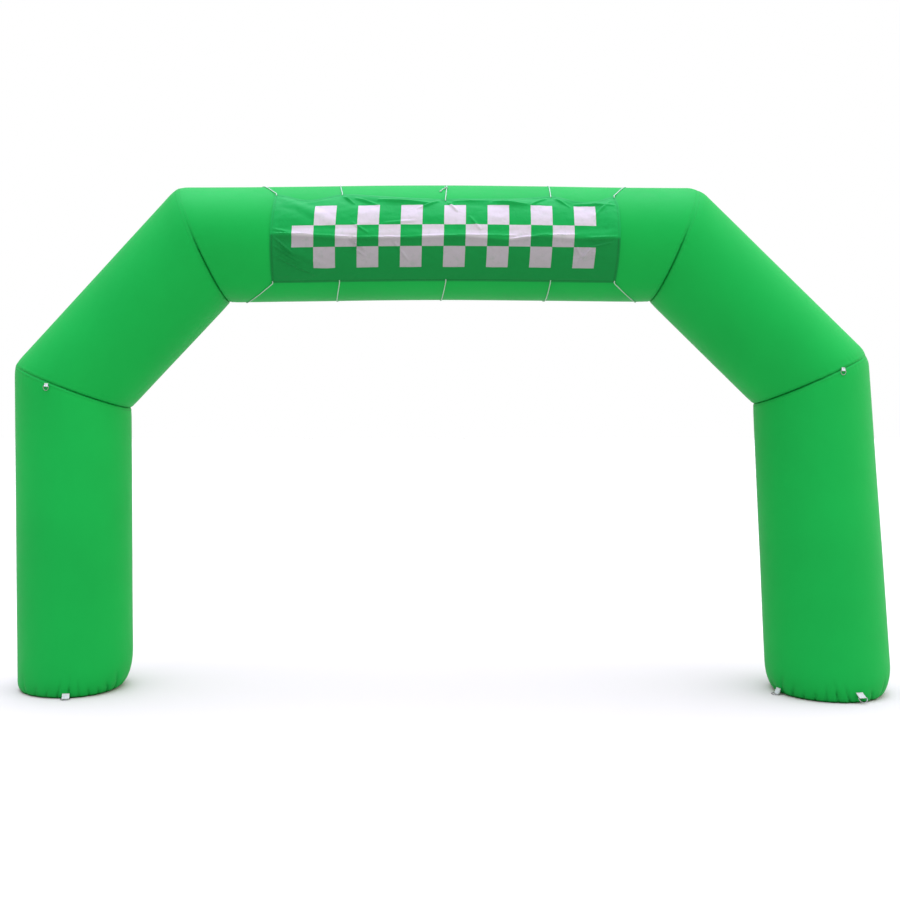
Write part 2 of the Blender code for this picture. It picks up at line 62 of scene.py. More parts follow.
# The ties: braided white cord, 6 mm thick. Each is sewn to the banner's hem, goes round the beam and
# through a loop sewn on it, and is knotted there. Where they lie follows from the tubes' centre line and
# from the banner's own shape, so both of those stand here too.
MIDDLE = Vector((0.0707, -0.0542, 0.0))
JOINTS = {
    "left_base": {"x": -2.500, "y": 0.0, "z": 0.0, "radius": 0.382},
    "left_knee": {"x": -2.516, "y": 0.0, "z": 2.065, "radius": 0.385},
    "left_shoulder": {"x": -1.617, "y": 0.0, "z": 3.037, "radius": 0.393},
    "right_shoulder": {"x": 1.613, "y": 0.0, "z": 3.037, "radius": 0.389},
    "right_knee": {"x": 2.552, "y": 0.0, "z": 2.115, "radius": 0.388},
    "right_base": {"x": 2.644, "y": -0.107, "z": 0.0, "radius": 0.411},
}
BEAM_RISE = 0.015
BANNER_LEFT = ((-47.0, -1.117), (-11.0, -1.115), (10.0, -1.111), (42.0, -1.097), (50.0, -1.094))
BANNER_RIGHT = ((-47.0, 1.175), (-14.0, 1.189), (6.0, 1.194), (33.0, 1.190), (47.0, 1.173))
BANNER_THICK = 0.002
BANNER_CLEAR = 0.003
LOWER_HEM = -47.0
UPPER_PUFF = 0.008
TOP_TIES = (
    {"x": -1.086, "hem": 50.0, "drift": -0.134, "sag": 9.0},
    {"x": -0.646, "hem": 48.5, "drift": -0.033, "sag": 2.5},
    {"x": 0.042, "hem": 39.5, "drift": 0.015, "sag": 3.5},
    {"x": 0.742, "hem": 46.0, "drift": 0.002, "sag": 10.0},
    {"x": 1.165, "hem": 47.0, "drift": 0.122, "sag": 0.0},
)
BOTTOM_TIES = (
    {"x": -1.109, "drift": -0.229},
    {"x": -0.664, "drift": -0.044},
    {"x": 0.044, "drift": -0.033},
    {"x": 0.741, "drift": -0.017},
    {"x": 1.167, "drift": 0.197},
)
# A fold runs from x0 at the angle a0 to x1 at the angle a1. Its height and half its width are in metres.
FOLD_COLUMNS = ("x0", "a0", "x1", "a1", "high", "wide")
FOLDS = [
    dict(zip(FOLD_COLUMNS, row))
    for row in (
        (-1.20, 3.0, -0.30, 1.0, 0.011, 0.045),
        (-0.30, 1.0, 0.62, -1.5, 0.012, 0.045),
        (0.62, -1.5, 1.22, 3.0, 0.012, 0.045),
        (-0.62, 44.0, -0.02, 33.0, 0.014, 0.060),
        (0.08, 38.0, 0.66, 34.0, 0.013, 0.055),
        (0.80, 41.0, 1.12, 30.0, 0.010, 0.050),
        (-1.02, 38.0, -0.68, 12.0, 0.010, 0.055),
        (-1.10, -2.0, -0.72, -32.0, 0.009, 0.045),
        (0.84, -30.0, 1.10, -6.0, 0.008, 0.050),
    )
]
TIE_DIAMETER = 0.006
TIE_ON_BANNER = 0.018
TIE_GAP = 0.0004
UPPER_LOOPS = 97.0
LOWER_LOOPS = -105.0
LOOP_LONG = 0.020
LOOSE_END = ((0.0, 60.0), (-0.010, 59.3), (-0.020, 57.6), (-0.028, 55.4), (-0.032, 53.2))
CORD_WHITE = (0.36, 0.52, 0.39)


def beam_rise(x):
    """How far the beam bows up at this place along it."""
    left = JOINTS["left_shoulder"]["x"]
    right = JOINTS["right_shoulder"]["x"]
    share = min(1.0, max(0.0, (x - left) / (right - left)))
    return BEAM_RISE * math.sin(math.pi * share) ** 2


def on_beam(x, degrees, lift):
    """A point this far off the beam's skin, at this angle up from its front."""
    left = JOINTS["left_shoulder"]
    right = JOINTS["right_shoulder"]
    share = min(1.0, max(0.0, (x - left["x"]) / (right["x"] - left["x"])))
    radius = left["radius"] + (right["radius"] - left["radius"]) * share + lift
    height = left["z"] + (right["z"] - left["z"]) * share + beam_rise(x)
    angle = math.radians(degrees)
    return Vector((x, -radius * math.cos(angle), height + radius * math.sin(angle))) - MIDDLE


def beam_outward(degrees):
    """The direction out of the beam at this angle up from its front."""
    angle = math.radians(degrees)
    return Vector((0.0, -math.cos(angle), math.sin(angle)))


def arc_degrees(distance):
    """The angle that a distance round the beam takes up."""
    return math.degrees(distance / JOINTS["left_shoulder"]["radius"])


def upper_hem(x):
    """The angle of the banner's upper hem, held up at its ties and sagging between them."""
    if x <= TOP_TIES[0]["x"]:
        return TOP_TIES[0]["hem"]
    for tie, following in zip(TOP_TIES, TOP_TIES[1:]):
        if x <= following["x"]:
            share = (x - tie["x"]) / (following["x"] - tie["x"])
            line = tie["hem"] + (following["hem"] - tie["hem"]) * share
            return line - tie["sag"] * math.sin(math.pi * share) ** 1.5
    return TOP_TIES[-1]["hem"]


def banner_edge(points, degrees):
    """Where one of the banner's short edges lies at this angle."""
    if degrees <= points[0][0]:
        return points[0][1]
    for (low, start), (high, end) in zip(points, points[1:]):
        if degrees <= high:
            return start + (end - start) * (degrees - low) / (high - low)
    return points[-1][1]


def ridge(x, degrees, fold):
    """How far one fold, a soft ridge between its two ends, lifts the cloth here."""
    around = JOINTS["left_shoulder"]["radius"] * math.radians(1)
    run_x = fold["x1"] - fold["x0"]
    run_a = (fold["a1"] - fold["a0"]) * around
    here_x = x - fold["x0"]
    here_a = (degrees - fold["a0"]) * around
    share = min(1.0, max(0.0, (here_x * run_x + here_a * run_a) / (run_x**2 + run_a**2)))
    away = math.hypot(here_x - run_x * share, here_a - run_a * share) / fold["wide"]
    if away >= 1:
        return 0.0
    ends = math.sin(math.pi * min(1.0, max(0.0, 0.12 + 0.76 * share)))
    return fold["high"] * ends * math.cos(away * math.pi / 2) ** 2


def banner_lift(x, degrees):
    """The banner's inner face above the beam's skin."""
    puff = 0.0
    hem = upper_hem(x)
    if 0 < degrees < hem:
        puff = UPPER_PUFF * math.sin(math.pi * degrees / hem) ** 2
    lift = max(ridge(x, degrees, fold) for fold in FOLDS)
    left = banner_edge(BANNER_LEFT, degrees)
    right = banner_edge(BANNER_RIGHT, degrees)
    ends = min(1.0, (x - left) / 0.08, (right - x) / 0.08)
    return BANNER_CLEAR + (puff + lift) * max(0.0, ends)


def add_object(name, data, finish):
    data.materials.append(finish)
    made = bpy.data.objects.new(name, data)
    bpy.context.scene.collection.objects.link(made)
    return made


def new_material(name, colour, roughness, specular=0.5):
    """A material whose Principled shader has these plain values, with its node tree and its shader."""
    made = bpy.data.materials.new(name)
    made.use_nodes = True
    tree = made.node_tree
    shader = tree.nodes["Principled BSDF"]
    shader.inputs["Base Color"].default_value = (*colour, 1.0)
    shader.inputs["Roughness"].default_value = roughness
    shader.inputs["Specular IOR Level"].default_value = specular
    return made, tree, shader


def add_node(tree, kind, values=None, **settings):
    """A node with its settings, and with its input sockets' values by name or number."""
    made = tree.nodes.new(kind)
    for name, value in settings.items():
        setattr(made, name, value)
    for key, value in (values or {}).items():
        made.inputs[key].default_value = value
    return made


def braided_material():
    """Braided cord: two crossed diagonal waves along the cord's own length and round it."""
    made, tree, shader = new_material("white_cord", CORD_WHITE, 0.7, 0.3)
    uv = tree.nodes.new("ShaderNodeUVMap")
    waves = []
    for turn in (2.0, -2.0):
        stretched = add_node(tree, "ShaderNodeMapping", {"Scale": (55.0, turn, 1.0)})
        tree.links.new(uv.outputs["UV"], stretched.inputs["Vector"])
        wave = add_node(tree, "ShaderNodeTexWave", {"Scale": 1.0}, bands_direction="DIAGONAL")
        tree.links.new(stretched.outputs["Vector"], wave.inputs["Vector"])
        waves.append(wave)
    braid = add_node(tree, "ShaderNodeMath", operation="MAXIMUM")
    tree.links.new(waves[0].outputs["Fac"], braid.inputs[0])
    tree.links.new(waves[1].outputs["Fac"], braid.inputs[1])
    bump = add_node(tree, "ShaderNodeBump", {"Strength": 0.5, "Distance": 0.0008})
    tree.links.new(braid.outputs["Value"], bump.inputs["Height"])
    tree.links.new(bump.outputs["Normal"], shader.inputs["Normal"])
    return made


white_cord = braided_material()


def round_cord(name, points, diameter, finish, closed=False):
    """A round cord or wire through these points."""
    curve = bpy.data.curves.new(name, "CURVE")
    curve.dimensions = "3D"
    curve.bevel_depth = diameter / 2
    curve.bevel_resolution = 4
    curve.use_fill_caps = True
    spline = curve.splines.new("POLY")
    spline.points.add(len(points) - 1)
    for spot, point in zip(spline.points, points):
        spot.co = (*point, 1.0)
    spline.use_cyclic_u = closed
    return add_object(name, curve, finish)


def tie_route(x, hem, loop, drift):
    """A tie's centre line, from on the banner over its hem and round the beam, through its loop."""
    radius = TIE_DIAMETER / 2
    away = 1 if loop > hem else -1
    begin = hem - away * arc_degrees(TIE_ON_BANNER)
    finish = loop + away * arc_degrees(LOOP_LONG)
    on_cloth = BANNER_CLEAR + BANNER_THICK + TIE_GAP + radius
    on_skin = TIE_GAP + radius
    points = []
    for step in range(61):
        degrees = begin + (finish - begin) * step / 60
        past = (degrees - hem) * away
        share = min(1.0, max(0.0, past / ((loop - hem) * away)))
        drop = min(1.0, max(0.0, (past - arc_degrees(0.006)) / arc_degrees(0.045)))
        drop = drop * drop * (3 - 2 * drop)
        own = banner_lift(x, min(max(degrees, LOWER_HEM), hem if away > 0 else 0.0)) - BANNER_CLEAR
        lift = (on_cloth + own) * (1 - drop) + on_skin * drop
        points.append(on_beam(x + drift * math.sin(share * math.pi / 2), degrees, lift))
    return points


def knotted(name, middle, run, out, size, diameter):
    """An overhand knot: a closed trefoil of the same cord, flattened against the cloth."""
    across = run.cross(out)
    points = []
    for step in range(48):
        t = math.tau * step / 48
        along = math.sin(t) + 2 * math.sin(2 * t)
        aside = math.cos(t) - 2 * math.cos(2 * t)
        up = -math.sin(3 * t)
        points.append(middle + (run * along * 0.9 + across * aside * 0.75 + out * up * 0.8) * size)
    return round_cord(name, points, diameter, white_cord, closed=True)


def finish_cord(cord, node, knots):
    """A cord and its knots as pieces, in place of the cord's solid."""
    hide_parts(node)
    for piece in [cord, *knots]:
        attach(piece, "root")


def make_tie(name, tie, hem, loop):
    """One of the banner's ties, with the knot at its loop."""
    points = tie_route(tie["x"], hem, loop, tie["drift"])
    cord = round_cord("cord_" + name, points, TIE_DIAMETER, white_cord)
    run = (points[-1] - points[-3]).normalized()
    out = beam_outward(loop + (3 if loop > 0 else -3))
    knot = knotted("knot_" + name, points[-1] + out * 0.0040, run, out, 0.0031, 0.0044)
    finish_cord(cord, "tie_" + name, [knot])


for number, tie in enumerate(TOP_TIES, 1):
    make_tie(f"top_{number}", tie, tie["hem"], UPPER_LOOPS)
for number, tie in enumerate(BOTTOM_TIES, 1):
    make_tie(f"bottom_{number}", tie, LOWER_HEM, LOWER_LOOPS)

on_skin = TIE_GAP + TIE_DIAMETER / 2
middle_tie = TOP_TIES[2]["x"]
loose_points = []
for (x0, a0), (x1, a1) in zip(LOOSE_END, LOOSE_END[1:]):
    for share in (0.0, 0.25, 0.5, 0.75):
        loose_points.append(on_beam(middle_tie + x0 + (x1 - x0) * share, a0 + (a1 - a0) * share, on_skin))
loose_points.append(on_beam(middle_tie + LOOSE_END[-1][0], LOOSE_END[-1][1], on_skin))
loose_end = round_cord("cord_end", loose_points, TIE_DIAMETER, white_cord)
end_out = beam_outward(LOOSE_END[-1][1])
end_run = (loose_points[-1] - loose_points[-3]).normalized()
end_knot = knotted("knot_end", loose_points[-1] + end_out * 0.0020, end_run, end_out, 0.0026, 0.0044)
front_place = on_beam(middle_tie + 0.0045, 60.5, 0.0085)
front_knot = knotted("knot_front", front_place, Vector((1, 0, 0)), beam_outward(60.5), 0.0042, 0.0052)
finish_cord(loose_end, "tie_end", [end_knot, front_knot])


# The three upper tube sections: green coated nylon, cut as mitred sleeves, sewn end to end and blown up
# tight. The thread tucks each seam into a narrow valley, and the cloth puckers beside it.
PINCH_ALL_ROUND = 0.004
PINCH_OUTSIDE = {"left_knee": 0.005, "left_shoulder": 0.008, "right_shoulder": 0.018, "right_knee": 0.020}
PINCH_WIDTH = 0.075
SEAM_GAP = 0.0003
SEAM_TUCK = 0.0060
SEAM_TUCK_WIDE = 0.010
SEAM_WELT = 0.0020
PUCKER_DEEP = 0.0038
PUCKER_LONG = 0.045
AROUND = 240
# Degrees round from the outside of the arch to where each seam begins to show.
SEAM_FLAT = {"left_knee": 15.0, "left_shoulder": 68.0, "right_shoulder": 68.0, "right_knee": 15.0}
NYLON_GREEN = (0.005, 0.320, 0.046)
CLOTH_IOR = 1.17
NEAR_ROWS = [0.0, 0.001, 0.0025, 0.0045, 0.007, 0.010, 0.0135]
NEAR_ROWS += [0.0175, 0.022, 0.028, 0.036, 0.046, 0.058, 0.075]
STITCH_ROW = 7
STITCH_LIFT = 0.0003
SEAM_STITCH = {"pitch": 0.007, "long": 0.0055, "thick": 0.0013}
# Painted shade: how much it darkens a seam's valley, and the colour factor where it is strongest.
SEAM_PAINTED_SHADE = 0.42
DARKEST_PAINTED_SHADE = 0.30
CLOTH_WANDER = 0.0012
DENT = (1.655, -0.165, 3.335)
DENT_DEEP = 0.006
DENT_WIDE = 0.020


def mapped(tree, source, given, wanted):
    """An output socket's values, mapped from one range to another."""
    made = tree.nodes.new("ShaderNodeMapRange")
    tree.links.new(source, made.inputs["Value"])
    for name, value in zip(("From Min", "From Max", "To Min", "To Max"), (*given, *wanted)):
        made.inputs[name].default_value = value
    return made.outputs["Result"]


def product(tree, first, second):
    """Two output sockets' values, multiplied."""
    made = add_node(tree, "ShaderNodeMath", operation="MULTIPLY")
    tree.links.new(first, made.inputs[0])
    tree.links.new(second, made.inputs[1])
    return made.outputs["Value"]


def woven_bump(tree, uv, thread, strength):
    """The bump of a plain weave, from waves across and along a UV map in metres."""
    scale = math.tau / (20 * thread)
    weave = add_node(tree, "ShaderNodeMath", operation="ADD")
    for number, direction in enumerate(("X", "Y")):
        wave = add_node(tree, "ShaderNodeTexWave", {"Scale": scale}, bands_direction=direction)
        tree.links.new(uv.outputs["UV"], wave.inputs["Vector"])
        tree.links.new(wave.outputs["Fac"], weave.inputs[number])
    bump = add_node(tree, "ShaderNodeBump", {"Strength": strength, "Distance": 0.0004})
    tree.links.new(weave.outputs["Value"], bump.inputs["Height"])
    return bump


def nylon_material(name, colour, roughness):
    """Coated nylon cloth: a plain weave, soft ripples and clouds of tone, and painted shade from the mesh's
    painted_shade attribute, darker in the seams' valleys, in the creases of the gathers and along the ground."""
    made, tree, shader = new_material(name, colour, roughness)
    shader.inputs["IOR"].default_value = CLOTH_IOR
    place = tree.nodes.new("ShaderNodeTexCoord")
    uv = tree.nodes.new("ShaderNodeUVMap")
    clouds = add_node(tree, "ShaderNodeTexNoise", {"Scale": 1.4, "Detail": 3.0, "Roughness": 0.5})
    tree.links.new(place.outputs["Object"], clouds.inputs["Vector"])
    tone = mapped(tree, clouds.outputs["Fac"], (0.3, 0.7), (0.95, 1.05))
    # The painted_shade attribute darkens the colour with painted shade.
    painted_shade = add_node(tree, "ShaderNodeAttribute", attribute_name="painted_shade")
    painted_shade_factor = mapped(tree, painted_shade.outputs["Fac"], (0.0, 1.0), (1.0, DARKEST_PAINTED_SHADE))
    shade = add_node(tree, "ShaderNodeVectorMath", {0: colour}, operation="SCALE")
    tree.links.new(product(tree, tone, painted_shade_factor), shade.inputs["Scale"])
    tree.links.new(shade.outputs["Vector"], shader.inputs["Base Color"])
    fine = woven_bump(tree, uv, 0.0022, 0.12)
    ripple = add_node(tree, "ShaderNodeTexNoise", {"Scale": 11.0, "Detail": 4.0, "Roughness": 0.55})
    tree.links.new(place.outputs["Object"], ripple.inputs["Vector"])
    soft = add_node(tree, "ShaderNodeBump", {"Strength": 0.30, "Distance": 0.004})
    tree.links.new(ripple.outputs["Fac"], soft.inputs["Height"])
    tree.links.new(fine.outputs["Normal"], soft.inputs["Normal"])
    tree.links.new(soft.outputs["Normal"], shader.inputs["Normal"])
    rough = mapped(tree, ripple.outputs["Fac"], (0.0, 1.0), (roughness - 0.06, roughness + 0.08))
    tree.links.new(rough, shader.inputs["Roughness"])
    return made


green_nylon = nylon_material("green_nylon", NYLON_GREEN, 0.54)


def tube_mesh(name, points, around, along, painted_shade):
    """A tube's mesh from rows of points that close round. Its UV map is in metres, and its painted_shade
    attribute is the painted shade on the cloth, as in a seam's valley."""
    rows, columns = points.shape[:2]
    shape = bmesh.new()
    uv = shape.loops.layers.uv.new("UVMap")
    painted_shade_layer = shape.verts.layers.float.new("painted_shade")
    spots = []
    for row, row_painted_shade in zip(points, painted_shade):
        spots.append([shape.verts.new(p) for p in row])
        for spot, value in zip(spots[-1], row_painted_shade):
            spot[painted_shade_layer] = value
    for r in range(rows - 1):
        for c in range(columns):
            d = (c + 1) % columns
            face = shape.faces.new((spots[r][c], spots[r][d], spots[r + 1][d], spots[r + 1][c]))
            corners = ((r, c, c), (r, d, c + 1), (r + 1, d, c + 1), (r + 1, c, c))
            for loop, (row, column, turn) in zip(face.loops, corners):
                loop[uv].uv = (around * turn / columns, along[row, column])
    for row in (spots[0][::-1], spots[-1]):
        middle = shape.verts.new(sum((spot.co for spot in row), Vector()) / columns)
        for a, b in zip(row, row[1:] + row[:1]):
            shape.faces.new((a, b, middle))
    for face in shape.faces:
        face.smooth = True
    bmesh.ops.recalc_face_normals(shape, faces=shape.faces)
    mesh = bpy.data.meshes.new(name)
    shape.to_mesh(mesh)
    shape.free()
    mesh.set_sharp_from_angle(angle=math.radians(70))
    return mesh


def joint_point(name):
    joint = JOINTS[name]
    return Vector((joint["x"], joint["y"], joint["z"])) - MIDDLE


def turns():
    """Angles round a tube: 0 on the outside of the arch, 90 degrees at the front."""
    return np.arange(AROUND) * math.tau / AROUND


def seam_ring(before, joint, after, side):
    """The mitred seam at a joint, half the gap to one side of it."""
    first = (joint_point(joint) - joint_point(before)).normalized()
    second = (joint_point(after) - joint_point(joint)).normalized()
    square = (first + second).normalized()
    stretch = 1 / first.dot(square)
    front = (Vector((0, -1, 0)) + square * square.y).normalized()
    outside = front.cross(square).normalized()
    if outside.dot(Vector((-square.z, 0, square.x))) < 0:
        outside = -outside
    middle = np.array(joint_point(joint) + square * side * SEAM_GAP / 2)
    spin = turns()[:, None]
    away = np.array(outside) * np.cos(spin) * stretch + np.array(front) * np.sin(spin)
    return middle + away * JOINTS[joint]["radius"]


def noise_at(points, scale, seed):
    """Smooth noise from -1 to 1 at these points."""
    found = [noise.noise(Vector(p)) for p in points.reshape(-1, 3) * scale + seed]
    return np.array(found).reshape(points.shape[:-1])


def seam_shows(joint, spin):
    """How plainly a seam shows: pulled flat on the outside of the arch, where the cloth is tightest, and
    closed up on the inside."""
    around = np.degrees(np.arccos(np.cos(spin)))
    flat = np.clip((around - SEAM_FLAT[joint]) / 28.0, 0.12, 1.0)
    closed = np.clip((around - 105.0) / 50.0, 0.0, 1.0)
    return flat * (1 - 0.6 * closed)


def seam_dip(joint, points, distance, spin, seed):
    """How far the cloth lies in from the plain tube beside a seam: the broad pinch, the tuck itself, the
    welt of the seam allowance under the cloth, and puckers of uneven length."""
    outer = np.maximum(0.0, np.cos(spin)) ** 2
    pinch = PINCH_ALL_ROUND + PINCH_OUTSIDE[joint] * outer
    broad = pinch * np.maximum(0.0, 1 - distance / PINCH_WIDTH) ** 2
    tuck = SEAM_TUCK * np.maximum(0.0, 1 - distance / SEAM_TUCK_WIDE) ** 1.6
    welt = SEAM_WELT * np.exp(-(((distance - 0.017) / 0.006) ** 2))
    uneven = noise_at(points, 7.0, seed)
    wave = 0.5 + 0.5 * np.sin(spin * 46 + 2.6 * np.sin(spin * 5 + seed) + 1.4 * np.sin(spin * 13))
    reach = PUCKER_LONG * (0.8 + 0.5 * uneven)
    pucker = PUCKER_DEEP * wave * (0.55 + 0.9 * uneven.clip(-0.5, 1)) * np.exp(-distance / reach)
    return broad + seam_shows(joint, spin) * (tuck - welt + pucker)


def seam_painted_shade(joint, distance, spin):
    """How much painted shade darkens the cloth in the valley beside a seam, as a value of the painted_shade
    attribute.
    """
    return SEAM_PAINTED_SHADE * seam_shows(joint, spin) * np.clip(1 - distance / 0.010, 0.0, 1.0) ** 0.7


def sleeve_rows(start_ring, end_ring, middle_rows):
    """Rows of points along a tube's straight lines, close together beside both seams."""
    run = end_ring - start_ring
    length = np.linalg.norm(run, axis=1, keepdims=True)
    unit = run / length
    inner = length - 2 * NEAR_ROWS[-1]
    rows = [start_ring + unit * d for d in NEAR_ROWS]
    rows += [start_ring + unit * (NEAR_ROWS[-1] + inner * i / middle_rows) for i in range(1, middle_rows)]
    rows += [end_ring - unit * d for d in reversed(NEAR_ROWS)]
    return np.array(rows)


def outward_from_axis(points):
    """Each point's direction away from the tube's middle line."""
    middles = points.mean(axis=1, keepdims=True)
    axis = middles[-1, 0] - middles[0, 0]
    axis = axis / np.linalg.norm(axis)
    away = points - middles
    away = away - (away @ axis)[..., None] * axis
    return away / np.linalg.norm(away, axis=2, keepdims=True)


def stitch_tree():
    """A node tree that lays short rounded stitches along paths, turned along them."""
    tree = bpy.data.node_groups.new("stitches", "GeometryNodeTree")
    sockets = tree.interface
    sockets.new_socket("Paths", in_out="INPUT", socket_type="NodeSocketGeometry")
    for name in ("Pitch", "Long", "Thick"):
        sockets.new_socket(name, in_out="INPUT", socket_type="NodeSocketFloat")
    sockets.new_socket("Thread", in_out="INPUT", socket_type="NodeSocketMaterial")
    sockets.new_socket("Stitches", in_out="OUTPUT", socket_type="NodeSocketGeometry")
    given = tree.nodes.new("NodeGroupInput")
    result = tree.nodes.new("NodeGroupOutput")
    curve = tree.nodes.new("GeometryNodeMeshToCurve")
    tree.links.new(given.outputs["Paths"], curve.inputs["Mesh"])
    spaced = add_node(tree, "GeometryNodeResampleCurve", mode="LENGTH")
    tree.links.new(curve.outputs["Curve"], spaced.inputs["Curve"])
    tree.links.new(given.outputs["Pitch"], spaced.inputs["Length"])
    size = tree.nodes.new("ShaderNodeCombineXYZ")
    tree.links.new(given.outputs["Long"], size.inputs["X"])
    tree.links.new(given.outputs["Thick"], size.inputs["Y"])
    tree.links.new(given.outputs["Thick"], size.inputs["Z"])
    stitch = add_node(tree, "GeometryNodeMeshIcoSphere", {"Radius": 0.5, "Subdivisions": 1})
    tangent = tree.nodes.new("GeometryNodeInputTangent")
    turned = add_node(tree, "FunctionNodeAlignRotationToVector", axis="X")
    tree.links.new(tangent.outputs["Tangent"], turned.inputs["Vector"])
    placed = tree.nodes.new("GeometryNodeInstanceOnPoints")
    tree.links.new(spaced.outputs["Curve"], placed.inputs["Points"])
    tree.links.new(stitch.outputs["Mesh"], placed.inputs["Instance"])
    tree.links.new(turned.outputs["Rotation"], placed.inputs["Rotation"])
    tree.links.new(size.outputs["Vector"], placed.inputs["Scale"])
    smooth = tree.nodes.new("GeometryNodeSetShadeSmooth")
    tree.links.new(placed.outputs["Instances"], smooth.inputs["Geometry"])
    real = tree.nodes.new("GeometryNodeRealizeInstances")
    tree.links.new(smooth.outputs["Geometry"], real.inputs["Geometry"])
    coloured = tree.nodes.new("GeometryNodeSetMaterial")
    tree.links.new(real.outputs["Geometry"], coloured.inputs["Geometry"])
    tree.links.new(given.outputs["Thread"], coloured.inputs["Material"])
    tree.links.new(coloured.outputs["Geometry"], result.inputs["Stitches"])
    return tree


def thread_material(name, colour):
    """Twisted sewing thread: a fine slanting ply in the bump."""
    made, tree, shader = new_material(name, colour, 0.6, 0.3)
    place = tree.nodes.new("ShaderNodeTexCoord")
    ply = add_node(tree, "ShaderNodeTexWave", {"Scale": 500.0}, bands_direction="DIAGONAL")
    tree.links.new(place.outputs["Object"], ply.inputs["Vector"])
    bump = add_node(tree, "ShaderNodeBump", {"Strength": 0.3, "Distance": 0.0002})
    tree.links.new(ply.outputs["Fac"], bump.inputs["Height"])
    tree.links.new(bump.outputs["Normal"], shader.inputs["Normal"])
    return made


stitches = stitch_tree()
green_thread = thread_material("green_thread", (0.006, 0.20, 0.035))


def sew(name, paths, thread, slot, pitch, long, thick):
    """Rows of stitches along these paths, as one piece."""
    mesh = bpy.data.meshes.new(name)
    verts = []
    edges = []
    for path in paths:
        edges += [(len(verts) + i, len(verts) + i + 1) for i in range(len(path) - 1)]
        verts += [tuple(point) for point in path]
    mesh.from_pydata(verts, edges, [])
    row = add_object(name, mesh, thread)
    modifier = row.modifiers.new("stitches", "NODES")
    modifier.node_group = stitches
    values = {"Pitch": pitch, "Long": long, "Thick": thick, "Thread": thread}
    for item in stitches.interface.items_tree:
        if item.in_out == "INPUT" and item.name in values:
            modifier[item.identifier] = values[item.name]
    evaluated = row.evaluated_get(bpy.context.evaluated_depsgraph_get())
    sewn = bpy.data.meshes.new_from_object(evaluated)
    row.modifiers.remove(modifier)
    row.data = sewn
    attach(row, "root")


def finish_tube(name, points, radius, along, painted_shade):
    """A tube section as a piece, in place of its solid."""
    mesh = tube_mesh(name + "_skin", points, math.tau * radius, along, painted_shade)
    tube = add_object(name + "_skin", mesh, green_nylon)
    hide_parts(name)
    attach(tube, "root")


def make_sleeve(name, start, start_ring, end, end_ring, middle_rows, seed):
    """A tube section between two seams, with a row of stitches beside each."""
    spin = turns()[None, :]
    points = sleeve_rows(start_ring, end_ring, middle_rows)
    from_start = np.linalg.norm(points - start_ring, axis=2)
    from_end = np.linalg.norm(end_ring - points, axis=2)
    dip = seam_dip(start, points, from_start, spin, seed) + seam_dip(end, points, from_end, spin, seed + 3.7)
    dip = dip + CLOTH_WANDER * noise_at(points, 2.2, seed + 8.1)
    if name == "shoulder_right":
        from_dent = np.linalg.norm(points - np.array(DENT), axis=2)
        dip = dip + DENT_DEEP * np.exp(-((from_dent / DENT_WIDE) ** 2))
    outward = outward_from_axis(points)
    points = points - outward * dip[..., None]
    if name == "beam":
        points[..., 2] += np.vectorize(beam_rise)(points[..., 0] + MIDDLE.x)
    # Painted shade in the valleys beside both seams.
    painted_shade = np.maximum(seam_painted_shade(start, from_start, spin), seam_painted_shade(end, from_end, spin))
    finish_tube(name, points, JOINTS[start]["radius"], from_start, painted_shade)
    rows = [points[r] + outward[r] * STITCH_LIFT for r in (STITCH_ROW, -STITCH_ROW - 1)]
    paths = [np.vstack([row, row[:1]]) for row in rows]
    sew(name + "_stitches", paths, green_thread, "green_nylon", **SEAM_STITCH)


names = list(JOINTS)
left_knee_ring = seam_ring(*names[0:3], 1)
left_rings = [seam_ring(*names[1:4], side) for side in (-1, 1)]
right_rings = [seam_ring(*names[2:5], side) for side in (-1, 1)]
right_knee_ring = seam_ring(*names[3:6], -1)
make_sleeve("shoulder_left", names[1], left_knee_ring, names[2], left_rings[0], 60, 1.3)
make_sleeve("beam", names[2], left_rings[1], names[3], right_rings[0], 150, 5.9)
make_sleeve("shoulder_right", names[3], right_rings[1], names[4], right_knee_ring, 60, 11.2)


# The legs: the same sleeves, closed at the ground by a round panel. The bottom seam gathers the cloth, so
# it turns in there and stands in uneven little folds.
FOOT = {
    "left": {
        "in_left": 0.030,
        "up_left": 0.055,
        "in_right": 0.103,
        "up_right": 0.260,
        "in_front": 0.036,
        "up_front": 0.120,
    },
    "right": {
        "in_left": 0.065,
        "up_left": 0.190,
        "in_right": 0.104,
        "up_right": 0.220,
        "in_front": 0.042,
        "up_front": 0.140,
    },
}
GATHERS = 20
GATHER_DEPTH = 0.0055
GATHER_TOP = 0.15
CREASE_DEEP = 0.021
# How much painted shade darkens the creases of the gathers.
CREASE_PAINTED_SHADE = 0.62
GATHER_SIDES = {"left": {"middle": 45.0, "spread": 75.0}, "right": {"middle": 0.0, "spread": 110.0}}
FOOT_ROWS = [0.0023, 0.0035, 0.005, 0.0075, 0.011, 0.015, 0.020, 0.027, 0.035, 0.045, 0.057, 0.070, 0.085]
FOOT_ROWS += [0.102, 0.122, 0.145, 0.172, 0.205, 0.245, 0.290]
PANEL_THICK = 0.002


def turned_in(side, spin, height):
    """How far the leg's wall turns in at this height above the ground."""
    foot = FOOT[side]
    across = -np.cos(spin) if side == "left" else np.cos(spin)
    to_left = np.maximum(0.0, -across) ** 2
    to_right = np.maximum(0.0, across) ** 2
    to_front = 1 - to_left - to_right
    inset = foot["in_left"] * to_left + foot["in_right"] * to_right + foot["in_front"] * to_front
    top = foot["up_left"] * to_left + foot["up_right"] * to_right + foot["up_front"] * to_front
    share = np.clip(1 - height / top, 0.0, 1.0)
    return inset * (1 - np.sqrt(1 - share**2))


